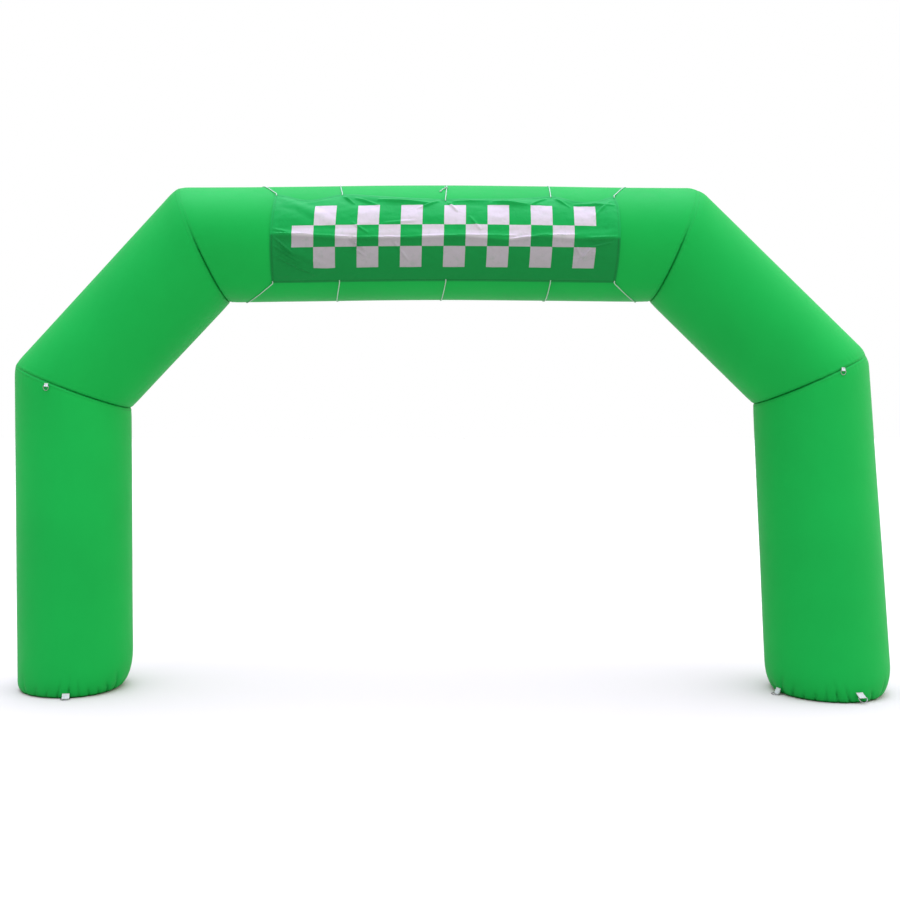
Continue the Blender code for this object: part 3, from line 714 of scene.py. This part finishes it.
def gathered(side, spin, height):
    """How far the gathers draw the wall in, as broad waves with a sharper crease in each, and how much
    painted shade darkens the creases."""
    turn = np.degrees(spin) - 90 if side == "left" else 90 - np.degrees(spin)
    off = (turn - GATHER_SIDES[side]["middle"] + 180) % 360 - 180
    strength = 0.25 + 0.75 * np.exp(-((off / GATHER_SIDES[side]["spread"]) ** 2))
    phase = GATHERS * spin + 1.3 * np.sin(2 * spin)
    wave = 0.5 - 0.5 * np.cos(phase)
    fade = np.clip(1 - height / GATHER_TOP, 0.0, 1.0) ** 1.5 * (0.45 + 0.55 * np.minimum(1.0, height / 0.03))
    lean = 18 * height * np.sin(3 * spin + 0.7)
    crease = (1 - np.abs(np.sin(0.75 * phase + lean + 0.9 * np.sin(3 * spin + 1.0)))) ** 4
    long = 0.07 + 0.09 * (0.5 + 0.5 * np.sin(7 * spin + 2.0))
    short = np.clip(1 - height / long, 0.0, 1.0) * np.minimum(1.0, 0.3 + height / 0.012)
    dip = strength * (GATHER_DEPTH * wave * fade + CREASE_DEEP * crease * short)
    return dip, CREASE_PAINTED_SHADE * strength * crease * short


def foot_outward(side, spin):
    """The direction out of a leg at this angle round it."""
    outside = -1.0 if side == "left" else 1.0
    return np.stack([outside * np.cos(spin), -np.sin(spin), 0.0 * spin], axis=-1)


def make_leg(side, seed):
    """A leg from the ground to its knee seam, with its two rows of stitches and its bottom panel."""
    knee = side + "_knee"
    if side == "left":
        top_ring = seam_ring("left_base", knee, "left_shoulder", -1)
    else:
        top_ring = seam_ring("right_shoulder", knee, "right_base", 1)
    spin = turns()[None, :]
    middle = np.array(joint_point(side + "_base"))
    outward = foot_outward(side, turns())
    radius = JOINTS[side + "_base"]["radius"]
    ground = middle + outward * radius
    run = top_ring - ground
    unit = run / np.linalg.norm(run, axis=1, keepdims=True)
    rows = [ground + run * (h / top_ring[:, 2:3]) for h in FOOT_ROWS]
    low = rows[-1]
    high = top_ring - unit * NEAR_ROWS[-1]
    rows += [low + (high - low) * i / 70 for i in range(1, 70)]
    rows += [top_ring - unit * d for d in reversed(NEAR_ROWS)]
    points = np.array(rows)
    height = points[..., 2]
    from_top = np.linalg.norm(top_ring - points, axis=2)
    from_ground = np.linalg.norm(points - ground, axis=2)
    drawn, crease_shade = gathered(side, spin, height)
    dip = turned_in(side, spin, height) + drawn
    dip = dip + seam_dip(knee, points, from_top, spin, seed)
    dip = dip + CLOTH_WANDER * noise_at(points, 2.0, seed + 4.4) * np.clip(height / 0.3, 0.0, 1.0)
    points = points - outward[None, :, :] * dip[..., None]
    # Painted shade beside the knee seam, and a painted shadow along the ground line, darkest in the lowest 6
    # mm.
    painted_shade = np.maximum(seam_painted_shade(knee, from_top, spin), np.clip(1.6 - height / 0.010, 0.0, 1.0))
    painted_shade = np.maximum(painted_shade, crease_shade)
    finish_tube("leg_" + side, points, radius, from_ground, painted_shade)
    top_row = points[-STITCH_ROW - 1] + outward * STITCH_LIFT
    low_row = points[6] + outward * STITCH_LIFT
    paths = [np.vstack([row, row[:1]]) for row in (top_row, low_row)]
    sew("leg_" + side + "_stitches", paths, green_thread, "green_nylon", **SEAM_STITCH)

    inset = 0.95 * turned_in(side, spin, 0.0) + gathered(side, spin, 0.0)[0]
    rim = middle + outward * (radius - inset[0][:, None])
    rings = np.array([rim + np.array((0.0, 0.0, z)) for z in (0.0, PANEL_THICK)])
    flat = np.zeros((2, AROUND))
    # The bottom panel has full painted shade all over.
    mesh = tube_mesh("panel_" + side, rings, math.tau * radius, flat, flat + 1)
    panel = add_object("panel_" + side, mesh, green_nylon)
    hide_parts("base_" + side)
    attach(panel, "root")


make_leg("left", 2.1)
make_leg("right", 7.3)


# The banner: one rectangle of thin printed polyester with a folded hem all round, darker than the nylon
# behind it. It was packed folded in half along its length, which left the long crease.
BANNER_GREEN = (0.006, 0.300, 0.055)
PRINT_WHITE = (0.50, 0.475, 0.475)
PRINT_LEFT = -0.974
PRINT_LOW = -30.5
SQUARE = 0.142
PRINT_COLUMNS = 14
PRINT_ROWS = 3
# How much painted shade darkens the half below the packing crease.
LOWER_HALF_PAINTED_SHADE = 0.37
HEM_WIDE = 0.018
HEM_SEWN = 0.014
# How much painted shade darkens the hem's sewn line.
HEM_LINE_PAINTED_SHADE = 0.36
HEM_STITCH = {"pitch": 0.0045, "long": 0.0036, "thick": 0.0009}
BANNER_FLAT = (2.31, 0.66)
CLOTH_THICK = 0.0014
BANNER_RADIUS = 0.398
CREASES = [
    dict(zip(FOLD_COLUMNS, row))
    for row in (
        (-1.10, 3.5, -0.86, 2.5, 0.0117, 0.011),
        (-0.90, 2.0, -0.55, -1.0, 0.0104, 0.010),
        (-0.60, -1.0, -0.15, -1.5, 0.013, 0.010),
        (-0.18, -1.0, 0.20, 0.5, 0.0117, 0.010),
        (0.15, 0.5, 0.50, 0.0, 0.0117, 0.010),
        (0.46, -3.0, 0.66, 0.5, 0.0143, 0.010),
        (0.64, 1.0, 0.90, 1.5, 0.0143, 0.010),
        (0.96, -1.0, 1.17, 0.5, 0.0117, 0.011),
        (-1.10, 8.0, -0.95, 3.0, 0.0091, 0.012),
        (-1.09, 0.0, -0.96, -16.0, 0.01248, 0.011),
        (-1.09, -8.0, -0.92, -24.0, 0.01248, 0.010),
        (-1.08, -18.0, -0.83, -37.0, 0.013, 0.010),
        (-0.60, -1.0, -0.49, -12.5, 0.013, 0.010),
        (-0.59, -8.0, -0.48, -20.0, 0.00936, 0.010),
        (-0.57, 12.5, -0.47, 3.0, 0.01196, 0.011),
        (-0.64, 44.0, -0.56, 33.0, 0.0143, 0.011),
        (-0.55, 40.0, -0.40, 31.0, 0.013, 0.013),
        (-0.40, 37.0, -0.05, 33.0, 0.01352, 0.014),
        (0.00, 36.0, -0.14, 27.0, 0.0104, 0.012),
        (0.05, 36.0, 0.12, 24.0, 0.013, 0.012),
        (0.10, 35.5, 0.33, 36.0, 0.0117, 0.012),
        (0.36, 35.0, 0.58, 32.0, 0.0143, 0.014),
        (0.60, 31.0, 0.72, 42.0, 0.0104, 0.012),
        (0.76, 42.0, 0.86, 30.0, 0.01092, 0.012),
        (0.90, 33.0, 1.16, 33.5, 0.013, 0.012),
        (1.13, 38.0, 1.02, 20.0, 0.0078, 0.014),
        (0.92, -24.0, 1.00, -10.0, 0.01144, 0.013),
        (0.99, -10.0, 1.14, -5.0, 0.0104, 0.012),
        (0.88, -4.0, 0.93, -18.0, 0.00832, 0.012),
        (-0.36, 12.0, -0.16, 14.0, 0.00884, 0.013),
        (-0.30, -6.0, -0.20, -24.0, 0.0078, 0.014),
        (0.20, 18.0, 0.27, 6.0, 0.00936, 0.013),
    )
]


def printed_material():
    """Printed cloth: rows of white squares on green, thinned in places by wear, over a fine weave. The mesh's
    shade attribute darkens its hem's sewn line and the half below the packing crease with painted shade."""
    made, tree, shader = new_material("banner_cloth", BANNER_GREEN, 0.50)
    shader.inputs["IOR"].default_value = CLOTH_IOR
    uv = tree.nodes.new("ShaderNodeUVMap")
    place = tree.nodes.new("ShaderNodeTexCoord")
    start = (PRINT_LEFT - BANNER_LEFT[0][1], math.radians(PRINT_LOW - LOWER_HEM) * BANNER_RADIUS, 0.0)
    moved = add_node(tree, "ShaderNodeVectorMath", {1: start}, operation="SUBTRACT")
    tree.links.new(uv.outputs["UV"], moved.inputs[0])
    per_square = (1 / SQUARE, 1 / SQUARE, 1.0)
    counted = add_node(tree, "ShaderNodeVectorMath", {1: per_square}, operation="MULTIPLY")
    tree.links.new(moved.outputs["Vector"], counted.inputs[0])
    parts = tree.nodes.new("ShaderNodeSeparateXYZ")
    tree.links.new(counted.outputs["Vector"], parts.inputs["Vector"])
    board = add_node(tree, "ShaderNodeTexChecker", {"Scale": 1.0})
    tree.links.new(counted.outputs["Vector"], board.inputs["Vector"])
    white = board.outputs["Fac"]
    for axis, most in (("X", PRINT_COLUMNS), ("Y", PRINT_ROWS)):
        for operation, limit in (("GREATER_THAN", 0.0), ("LESS_THAN", float(most))):
            inside = add_node(tree, "ShaderNodeMath", {1: limit}, operation=operation)
            tree.links.new(parts.outputs[axis], inside.inputs[0])
            white = product(tree, white, inside.outputs["Value"])
    worn = add_node(tree, "ShaderNodeTexNoise", {"Scale": 26.0, "Detail": 6.0, "Roughness": 0.65})
    tree.links.new(place.outputs["Object"], worn.inputs["Vector"])
    white = product(tree, white, mapped(tree, worn.outputs["Fac"], (0.30, 0.48), (0.86, 1.0)))
    colour = add_node(tree, "ShaderNodeMix", data_type="RGBA")
    sockets = [socket for socket in colour.inputs if socket.type == "RGBA"]
    sockets[0].default_value = (*BANNER_GREEN, 1.0)
    sockets[1].default_value = (*PRINT_WHITE, 1.0)
    tree.links.new(white, colour.inputs["Factor"])
    mixed = [socket for socket in colour.outputs if socket.type == "RGBA"][0]
    # The shade attribute is painted shade.
    half = add_node(tree, "ShaderNodeAttribute", attribute_name="shade")
    shade = add_node(tree, "ShaderNodeVectorMath", operation="SCALE")
    tree.links.new(mixed, shade.inputs[0])
    tree.links.new(half.outputs["Fac"], shade.inputs["Scale"])
    tree.links.new(shade.outputs["Vector"], shader.inputs["Base Color"])
    fine = woven_bump(tree, uv, 0.0018, 0.10)
    crumple = add_node(tree, "ShaderNodeTexNoise", {"Scale": 17.0, "Detail": 5.0, "Distortion": 0.8})
    tree.links.new(place.outputs["Object"], crumple.inputs["Vector"])
    soft = add_node(tree, "ShaderNodeBump", {"Strength": 0.5, "Distance": 0.006})
    tree.links.new(crumple.outputs["Fac"], soft.inputs["Height"])
    tree.links.new(fine.outputs["Normal"], soft.inputs["Normal"])
    tree.links.new(soft.outputs["Normal"], shader.inputs["Normal"])
    return made


banner_cloth = printed_material()


def crease_line(x):
    """The angle of the long packing crease."""
    points = [(c["x0"], c["a0"]) for c in CREASES[:8]] + [(1.2, 0.5)]
    for (x0, a0), (x1, a1) in zip(points, points[1:]):
        if x < x1:
            return a0 + (a1 - a0) * max(0.0, x - x0) / (x1 - x0)
    return points[-1][1]


def from_edge(x, degrees, hem):
    """How far this place is from the banner's nearest edge."""
    left = banner_edge(BANNER_LEFT, degrees)
    right = banner_edge(BANNER_RIGHT, degrees)
    up = math.radians(degrees - LOWER_HEM) * BANNER_RADIUS
    down = math.radians(hem - degrees) * BANNER_RADIUS
    return min(x - left, right - x, up, down)


def fine_lift(x, degrees, hem):
    """The banner's fine creases, which die away at its edges and where the ties lie."""
    fade = min(1.0, max(0.0, from_edge(x, degrees, hem) - 0.004) / 0.030)
    for tie in TOP_TIES:
        near = math.hypot(x - tie["x"], math.radians(degrees - tie["hem"]) * BANNER_RADIUS)
        fade *= min(1.0, max(0.0, near - 0.026) / 0.030)
    lift = max(ridge(x, degrees, crease) for crease in CREASES)
    crumple = noise.noise(Vector((x * 7, degrees * 0.07, 2.2)))
    crumple += 0.5 * noise.noise(Vector((x * 19, degrees * 0.2, 5.0)))
    return fade * (lift + max(0.0, 0.0042 * crumple + 0.0020))


def banner_place(across, up):
    """The place (x, degrees, hem) of a share of the banner's width and of its height."""
    start = BANNER_LEFT[-1][1]
    hem = upper_hem(start + (BANNER_RIGHT[-1][1] - start) * across)
    degrees = LOWER_HEM + (hem - LOWER_HEM) * up
    left = banner_edge(BANNER_LEFT, degrees)
    right = banner_edge(BANNER_RIGHT, degrees)
    return left + (right - left) * across, degrees, hem


def banner_mesh(columns, rows):
    """The banner's two faces joined at its edge. Its UV map is in metres from its lower left corner, and its
    shade attribute is painted shade, on the hem's sewn line and over the half below the packing crease."""
    shape = bmesh.new()
    uv = shape.loops.layers.uv.new("UVMap")
    tone = shape.verts.layers.float.new("shade")
    wide = BANNER_RIGHT[0][1] - BANNER_LEFT[0][1]
    faces = []
    flat = []
    for side in (0, 1):
        grid = []
        for i in range(columns + 1):
            line = []
            for j in range(rows + 1):
                x, degrees, hem = banner_place(i / columns, j / rows)
                edge = from_edge(x, degrees, hem)
                in_hem = edge < HEM_WIDE
                sewn = math.exp(-(((edge - HEM_SEWN) / 0.0035) ** 2))
                lift = banner_lift(x, degrees) + fine_lift(x, degrees, hem)
                lift += CLOTH_THICK + (0.0007 if in_hem else 0.0) if side else -0.0004
                vert = shape.verts.new(on_beam(x, degrees, lift))
                # Painted shade over the half below the packing crease, and along the hem's sewn line.
                below = min(1.0, max(0.0, (crease_line(x) - degrees) / 2.2))
                hem_line_painted_shade = 1.0 - HEM_LINE_PAINTED_SHADE * sewn * (0.2 + 0.8 * below)
                vert[tone] = (1.0 - LOWER_HALF_PAINTED_SHADE * below) * hem_line_painted_shade
                line.append(vert)
                if side == 0:
                    flat.append((wide * i / columns, math.radians(degrees - LOWER_HEM) * BANNER_RADIUS))
            grid.append(line)
        faces.append(grid)
    for grid in faces:
        for i in range(columns):
            for j in range(rows):
                corners = ((i, j), (i + 1, j), (i + 1, j + 1), (i, j + 1))
                face = shape.faces.new([grid[a][b] for a, b in corners])
                for loop, (a, b) in zip(face.loops, corners):
                    loop[uv].uv = flat[a * (rows + 1) + b]
    rim = [(i, 0) for i in range(columns)] + [(columns, j) for j in range(rows)]
    rim += [(i, rows) for i in range(columns, 0, -1)] + [(0, j) for j in range(rows, 0, -1)]
    inner, outer = faces
    for (i, j), (k, m) in zip(rim, rim[1:] + rim[:1]):
        face = shape.faces.new((inner[i][j], inner[k][m], outer[k][m], outer[i][j]))
        for loop, (a, b) in zip(face.loops, ((i, j), (k, m), (k, m), (i, j))):
            loop[uv].uv = flat[a * (rows + 1) + b]
    for face in shape.faces:
        face.smooth = True
    bmesh.ops.recalc_face_normals(shape, faces=shape.faces)
    mesh = bpy.data.meshes.new("banner_sheet")
    shape.to_mesh(mesh)
    shape.free()
    mesh.set_sharp_from_angle(angle=math.radians(60))
    return mesh


banner = add_object("banner_sheet", banner_mesh(380, 120), banner_cloth)
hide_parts("banner")
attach(banner, "root")

hem_paths = []
inset_x = HEM_SEWN / 2.3
inset_up = HEM_SEWN / BANNER_FLAT[1]
sides = []
for step in range(401):
    share = inset_x + (1 - 2 * inset_x) * step / 400
    rise = inset_up + (1 - 2 * inset_up) * step / 400
    sides.append(((share, inset_up), (share, 1 - inset_up), (inset_x, rise), (1 - inset_x, rise)))
for spots in zip(*sides):
    path = []
    for across, up in spots:
        x, degrees, hem = banner_place(across, up)
        lift = banner_lift(x, degrees) + fine_lift(x, degrees, hem) + CLOTH_THICK + 0.0009
        path.append(on_beam(x, degrees, lift))
    hem_paths.append(path)
banner_thread = thread_material("banner_thread", (0.012, 0.17, 0.03))
sew("banner_stitches", hem_paths, banner_thread, "banner_cloth", **HEM_STITCH)


# The webbing tabs: white polyester webbing, 50 mm wide at the feet and 25 mm at the knees. Each is folded
# round the bar of a nickel-plated D-ring of bent wire, and its ends are sewn to the leg.
STRAP_THICK = 0.0015
FOOT_STRAP = {"wide": 0.048, "wire": 0.005, "ring_wide": 0.058, "ring_deep": 0.036}
KNEE_STRAP = {"wide": 0.027, "wire": 0.004, "ring_wide": 0.038, "ring_deep": 0.028}
RING_CORNER = 0.004
WEBBING_WHITE = (0.52, 0.60, 0.53)
STRAP_STITCH = {"pitch": 0.0035, "long": 0.0028, "thick": 0.0008}
FOOT_TABS = (
    {"leg": "left", "side": "front", "turn": 6.3, "top": 0.036, "bar": 0.0056, "out": 0.010, "lean": 86.0},
    {"leg": "left", "side": "back", "turn": 173.7, "top": 0.036, "bar": 0.0056, "out": 0.010, "lean": 86.0},
    {"leg": "right", "side": "front", "turn": 11.5, "top": 0.074, "bar": 0.0410, "out": 0.004, "lean": 40.0},
    {"leg": "right", "side": "inner", "turn": -71.0, "top": 0.042, "bar": 0.0056, "out": 0.010, "lean": 86.0},
    {"leg": "right", "side": "back", "turn": 168.5, "top": 0.036, "bar": 0.0056, "out": 0.010, "lean": 86.0},
)
FOOT_SWINGS = {"right_front": 30.0}
KNEE_TABS = (
    {"name": "left_front", "knee": "left_knee", "turn": -10.2, "top": 2.081, "long": 0.020, "swing": -4.0},
    {"name": "left_back", "knee": "left_knee", "turn": 191.6, "top": 2.088, "long": 0.020, "swing": 0.0},
    {"name": "right_front", "knee": "right_knee", "turn": 16.4, "top": 2.184, "long": 0.020, "swing": -6.0},
    {"name": "right_back", "knee": "right_knee", "turn": 163.6, "top": 2.160, "long": 0.020, "swing": 0.0},
)


def webbing_material():
    """Woven webbing: ribs along its UV map in metres, greyed where hands and ground have rubbed it."""
    made, tree, shader = new_material("white_webbing", WEBBING_WHITE, 0.75, 0.3)
    uv = tree.nodes.new("ShaderNodeUVMap")
    place = tree.nodes.new("ShaderNodeTexCoord")
    grime = add_node(tree, "ShaderNodeTexNoise", {"Scale": 60.0, "Detail": 4.0})
    tree.links.new(place.outputs["Object"], grime.inputs["Vector"])
    shade = add_node(tree, "ShaderNodeVectorMath", {0: WEBBING_WHITE}, operation="SCALE")
    tree.links.new(mapped(tree, grime.outputs["Fac"], (0.3, 0.6), (0.80, 1.0)), shade.inputs["Scale"])
    tree.links.new(shade.outputs["Vector"], shader.inputs["Base Color"])
    fine = woven_bump(tree, uv, 0.0012, 0.6)
    tree.links.new(fine.outputs["Normal"], shader.inputs["Normal"])
    return made


def steel_material():
    """Nickel-plated steel wire, its polish uneven."""
    made, tree, shader = new_material("plated_steel", (0.28, 0.28, 0.27), 0.30)
    shader.inputs["Metallic"].default_value = 1.0
    place = tree.nodes.new("ShaderNodeTexCoord")
    smear = add_node(tree, "ShaderNodeTexNoise", {"Scale": 120.0, "Detail": 3.0})
    tree.links.new(place.outputs["Object"], smear.inputs["Vector"])
    rough = mapped(tree, smear.outputs["Fac"], (0.0, 1.0), (0.18, 0.38))
    tree.links.new(rough, shader.inputs["Roughness"])
    return made


white_webbing = webbing_material()
plated_steel = steel_material()
white_thread = thread_material("white_thread", (0.62, 0.64, 0.62))


def smooth_line(points, steps):
    """A smooth line through these points."""
    spots = [points[0], *points, points[-1]]
    line = []
    for a, b, c, d in zip(spots, spots[1:], spots[2:], spots[3:]):
        for step in range(steps):
            t = step / steps
            bend = (a * 2 - b * 5 + c * 4 - d) * t**2 + (b * 3 - a - c * 3 + d) * t**3
            line.append((b * 2 + (c - a) * t + bend) / 2)
    return line + [points[-1]]


def strap_points(line, wide, origin, across, run, out):
    """A strap's rows of points: a flat section with rounded edges, drawn along a line of (run, out)."""
    half = wide / 2
    spots = [half - 0.0004 - (wide - 0.0008) * i / 8 for i in range(9)]
    section = [(spot, STRAP_THICK / 2) for spot in spots] + [(-half, 0.0)]
    section += [(spot, -STRAP_THICK / 2) for spot in reversed(spots)] + [(half, 0.0)]
    rows = []
    for i, point in enumerate(line):
        ahead = (line[min(len(line) - 1, i + 1)] - line[max(0, i - 1)]).normalized()
        up = out * ahead.x - run * ahead.y
        middle = origin + run * point.x + out * point.y
        rows.append([middle + across * a + up * n for a, n in section])
    return np.array(rows)


def make_strap(name, node, line, wide, origin, across, run, out):
    """A piece of webbing in place of its solid, as long as its line."""
    points = strap_points(line, wide, origin, across, run, out)
    steps = [0.0] + [(b - a).length for a, b in zip(line, line[1:])]
    along = np.cumsum(steps)[:, None] * np.ones(points.shape[1])
    strap = add_object(name, tube_mesh(name, points, 2 * wide, along, np.zeros(along.shape)), white_webbing)
    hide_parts(node)
    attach(strap, "root")


def ring_points(wide, deep, bar_at, across, turned):
    """A D-ring's centre line, its straight bar first."""
    half = wide / 2
    plan = [(-half + 2 * RING_CORNER, 0.0), (half - 2 * RING_CORNER, 0.0)]
    for degrees in (-70, -45, -20):
        angle = math.radians(degrees)
        plan.append((half - RING_CORNER * (1 - math.cos(angle)), RING_CORNER * (1 + math.sin(angle))))
    for step in range(25):
        angle = math.pi * step / 24
        plan.append((half * math.cos(angle), RING_CORNER + (deep - RING_CORNER) * math.sin(angle)))
    for degrees in (200, 225, 250):
        angle = math.radians(degrees)
        plan.append((-half + RING_CORNER * (1 + math.cos(angle)), RING_CORNER * (1 + math.sin(angle))))
    return [bar_at + across * a + turned * b for a, b in plan]


def make_tab(name, sizes, origin, across, run, out, long, lean, prefix=""):
    """A folded webbing strap, sewn on at origin, with a D-ring in its fold."""
    square = (run - across * run.dot(across)).normalized()
    fold = (sizes["wire"] / 2 + 0.0005) / square.dot(run) + STRAP_THICK / 2
    bar = fold + STRAP_THICK / 2 + 0.0005
    meet = min(0.014, long * 0.55)
    middle = [(0.0, 0.0012), (meet * 0.5, 0.0018), (meet, 0.0034), (long, bar + fold)]
    for degrees in (50, 0, -50):
        angle = math.radians(degrees)
        middle.append((long + fold * math.cos(angle), bar + fold * math.sin(angle)))
    middle += [(long, bar - fold), (meet, 0.0013)]
    line = smooth_line([Vector(point) for point in middle], 5)
    strap = prefix + "strap_" + name
    make_strap(strap, prefix + "tab_" + name, line, sizes["wide"], origin, across, run, out)
    rows = []
    for spot in (line[4], line[8]):
        start = origin + run * spot.x + out * (spot.y + STRAP_THICK / 2 + 0.0003)
        rows.append([start + across * sizes["wide"] * share for share in (-0.44, 0.0, 0.44)])
    sew(strap + "_stitches", rows, white_thread, "white_cord", **STRAP_STITCH)

    turned = Matrix.Rotation(math.radians(lean), 3, across) @ square
    if turned.dot(out) < square.dot(out) - 1e-6 and lean > 0:
        turned = Matrix.Rotation(-math.radians(lean), 3, across) @ square
    bar_at = origin + run * long + out * bar
    points = ring_points(sizes["ring_wide"], sizes["ring_deep"], bar_at, across, turned)
    ring = round_cord(prefix + "wire_" + name, points, sizes["wire"], plated_steel, closed=True)
    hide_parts(prefix + "ring_" + name)
    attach(ring, "root")


for tab in FOOT_TABS:
    side = tab["leg"]
    name = side + "_" + tab["side"]
    turn = math.radians(tab["turn"])
    angle = math.pi / 2 + turn if side == "left" else math.pi / 2 - turn
    outward = Vector(foot_outward(side, np.array(angle)))
    base = joint_point(side + "_base")
    knee = joint_point(side + "_knee")
    centre = base + (knee - base) * (tab["top"] / knee.z)
    reach = JOINTS[side + "_base"]["radius"] - float(turned_in(side, angle, tab["top"])) + 0.0005
    across = Vector((math.cos(turn), math.sin(turn), 0))
    aside = math.tan(math.radians(FOOT_SWINGS.get(name, 0.0))) * (tab["top"] - tab["bar"])
    down = Vector((0, 0, tab["bar"] - tab["top"])) + across * aside + outward * tab["out"]
    run = down.normalized()
    out = (outward - run * outward.dot(run)).normalized()
    slope = math.degrees(math.atan2(tab["out"], tab["top"] - tab["bar"]))
    make_tab(name, FOOT_STRAP, centre + outward * reach, across, run, out, down.length, tab["lean"] - slope)

for tab in KNEE_TABS:
    knee = joint_point(tab["knee"])
    turn = math.radians(tab["turn"])
    out = Vector((math.sin(turn), -math.cos(turn), 0))
    level = Vector((math.cos(turn), math.sin(turn), 0))
    swing = math.radians(tab["swing"])
    run = Vector((0, 0, -1)) * math.cos(swing) + level * math.sin(swing)
    across = level * math.cos(swing) + Vector((0, 0, 1)) * math.sin(swing)
    origin = Vector((knee.x, knee.y, tab["top"])) + out * (JOINTS[tab["knee"]]["radius"] + 0.0008)
    make_tab(tab["name"], KNEE_STRAP, origin, across, run, out, tab["long"], 0.0, "knee_")


# The loops that hold the ties: short pieces of 20 mm webbing, sewn flat to the beam at both ends and
# standing up over the tie in the middle.
LOOP_HALF = 0.018
LOOP_RISE = 0.0085
LOOP_STITCH = {"pitch": 0.0030, "long": 0.0024, "thick": 0.0007}


def make_loop(name, tie, hem, loop):
    """A loop of webbing over a tie's route, with its four short rows of stitches."""
    points = tie_route(tie["x"], hem, loop, tie["drift"])
    out = beam_outward(loop)
    run = (points[-1] - points[-3]).normalized()
    run = (run - out * run.dot(out)).normalized()
    across = run.cross(out)
    line = []
    for step in range(41):
        aside = -LOOP_HALF + 2 * LOOP_HALF * step / 40
        rise = min(1.0, max(0.0, (0.0095 - abs(aside)) / 0.0065))
        line.append(Vector((aside, 0.0011 + LOOP_RISE * rise * rise * (3 - 2 * rise))))
    origin = on_beam(tie["x"] + tie["drift"], loop, 0.0002)
    make_strap("sewn_loop_" + name, "tie_loop_" + name, line, LOOP_LONG, origin, run, across, out)
    rows = []
    for aside in (-0.0155, -0.0125, 0.0125, 0.0155):
        start = origin + across * aside + out * (0.0011 + STRAP_THICK / 2 + 0.0003)
        rows.append([start + run * LOOP_LONG * share for share in (-0.42, 0.0, 0.42)])
    sew("sewn_loop_" + name + "_stitches", rows, white_thread, "white_cord", **LOOP_STITCH)


for number, tie in enumerate(TOP_TIES, 1):
    make_loop(f"top_{number}", tie, tie["hem"], UPPER_LOOPS)
for number, tie in enumerate(BOTTOM_TIES, 1):
    make_loop(f"bottom_{number}", tie, LOWER_HEM, LOWER_LOOPS)


# A plain pale floor, and the even light of a white studio that is brightest overhead and to the right. Each
# light below has its axis, how its two stops blend, and each stop's place and colour.
FLOOR_COLOUR = (0.52, 0.54, 0.44)
FLOOR_HALF = 60.0
FLOOR_LOW = -0.0005
STUDIO_LIGHT = (
    ("Z", "EASE", ((0.70, (1.0, 1.0, 1.0)), (0.95, (5.2, 4.6, 7.0)))),
    ("X", "LINEAR", ((0.45, (0.0, 0.0, 0.0)), (1.0, (1.3, 1.3, 1.3)))),
)
floor_material = new_material("floor", FLOOR_COLOUR, 0.95, 0.0)[0]
floor_mesh = bpy.data.meshes.new("floor")
corner_signs = ((-1, -1), (1, -1), (1, 1), (-1, 1))
floor_corners = [(FLOOR_HALF * x, FLOOR_HALF * y, FLOOR_LOW) for x, y in corner_signs]
floor_mesh.from_pydata(floor_corners, [], [(0, 1, 2, 3)])
floor = add_object("floor", floor_mesh, floor_material)

world = bpy.data.worlds.new("studio")
world.use_nodes = True
tree = world.node_tree
background = tree.nodes["Background"]
direction = tree.nodes.new("ShaderNodeTexCoord")
parts = tree.nodes.new("ShaderNodeSeparateXYZ")
tree.links.new(direction.outputs["Generated"], parts.inputs["Vector"])
sky = tree.nodes.new("ShaderNodeVectorMath")
for number, (axis, blend, stops) in enumerate(STUDIO_LIGHT):
    ramp = tree.nodes.new("ShaderNodeValToRGB")
    ramp.color_ramp.interpolation = blend
    for element, (position, colour) in zip(ramp.color_ramp.elements, stops):
        element.position = position
        element.color = (*colour, 1.0)
    tree.links.new(parts.outputs[axis], ramp.inputs["Fac"])
    tree.links.new(ramp.outputs["Color"], sky.inputs[number])
tree.links.new(sky.outputs["Vector"], background.inputs["Color"])
bpy.context.scene.world = world
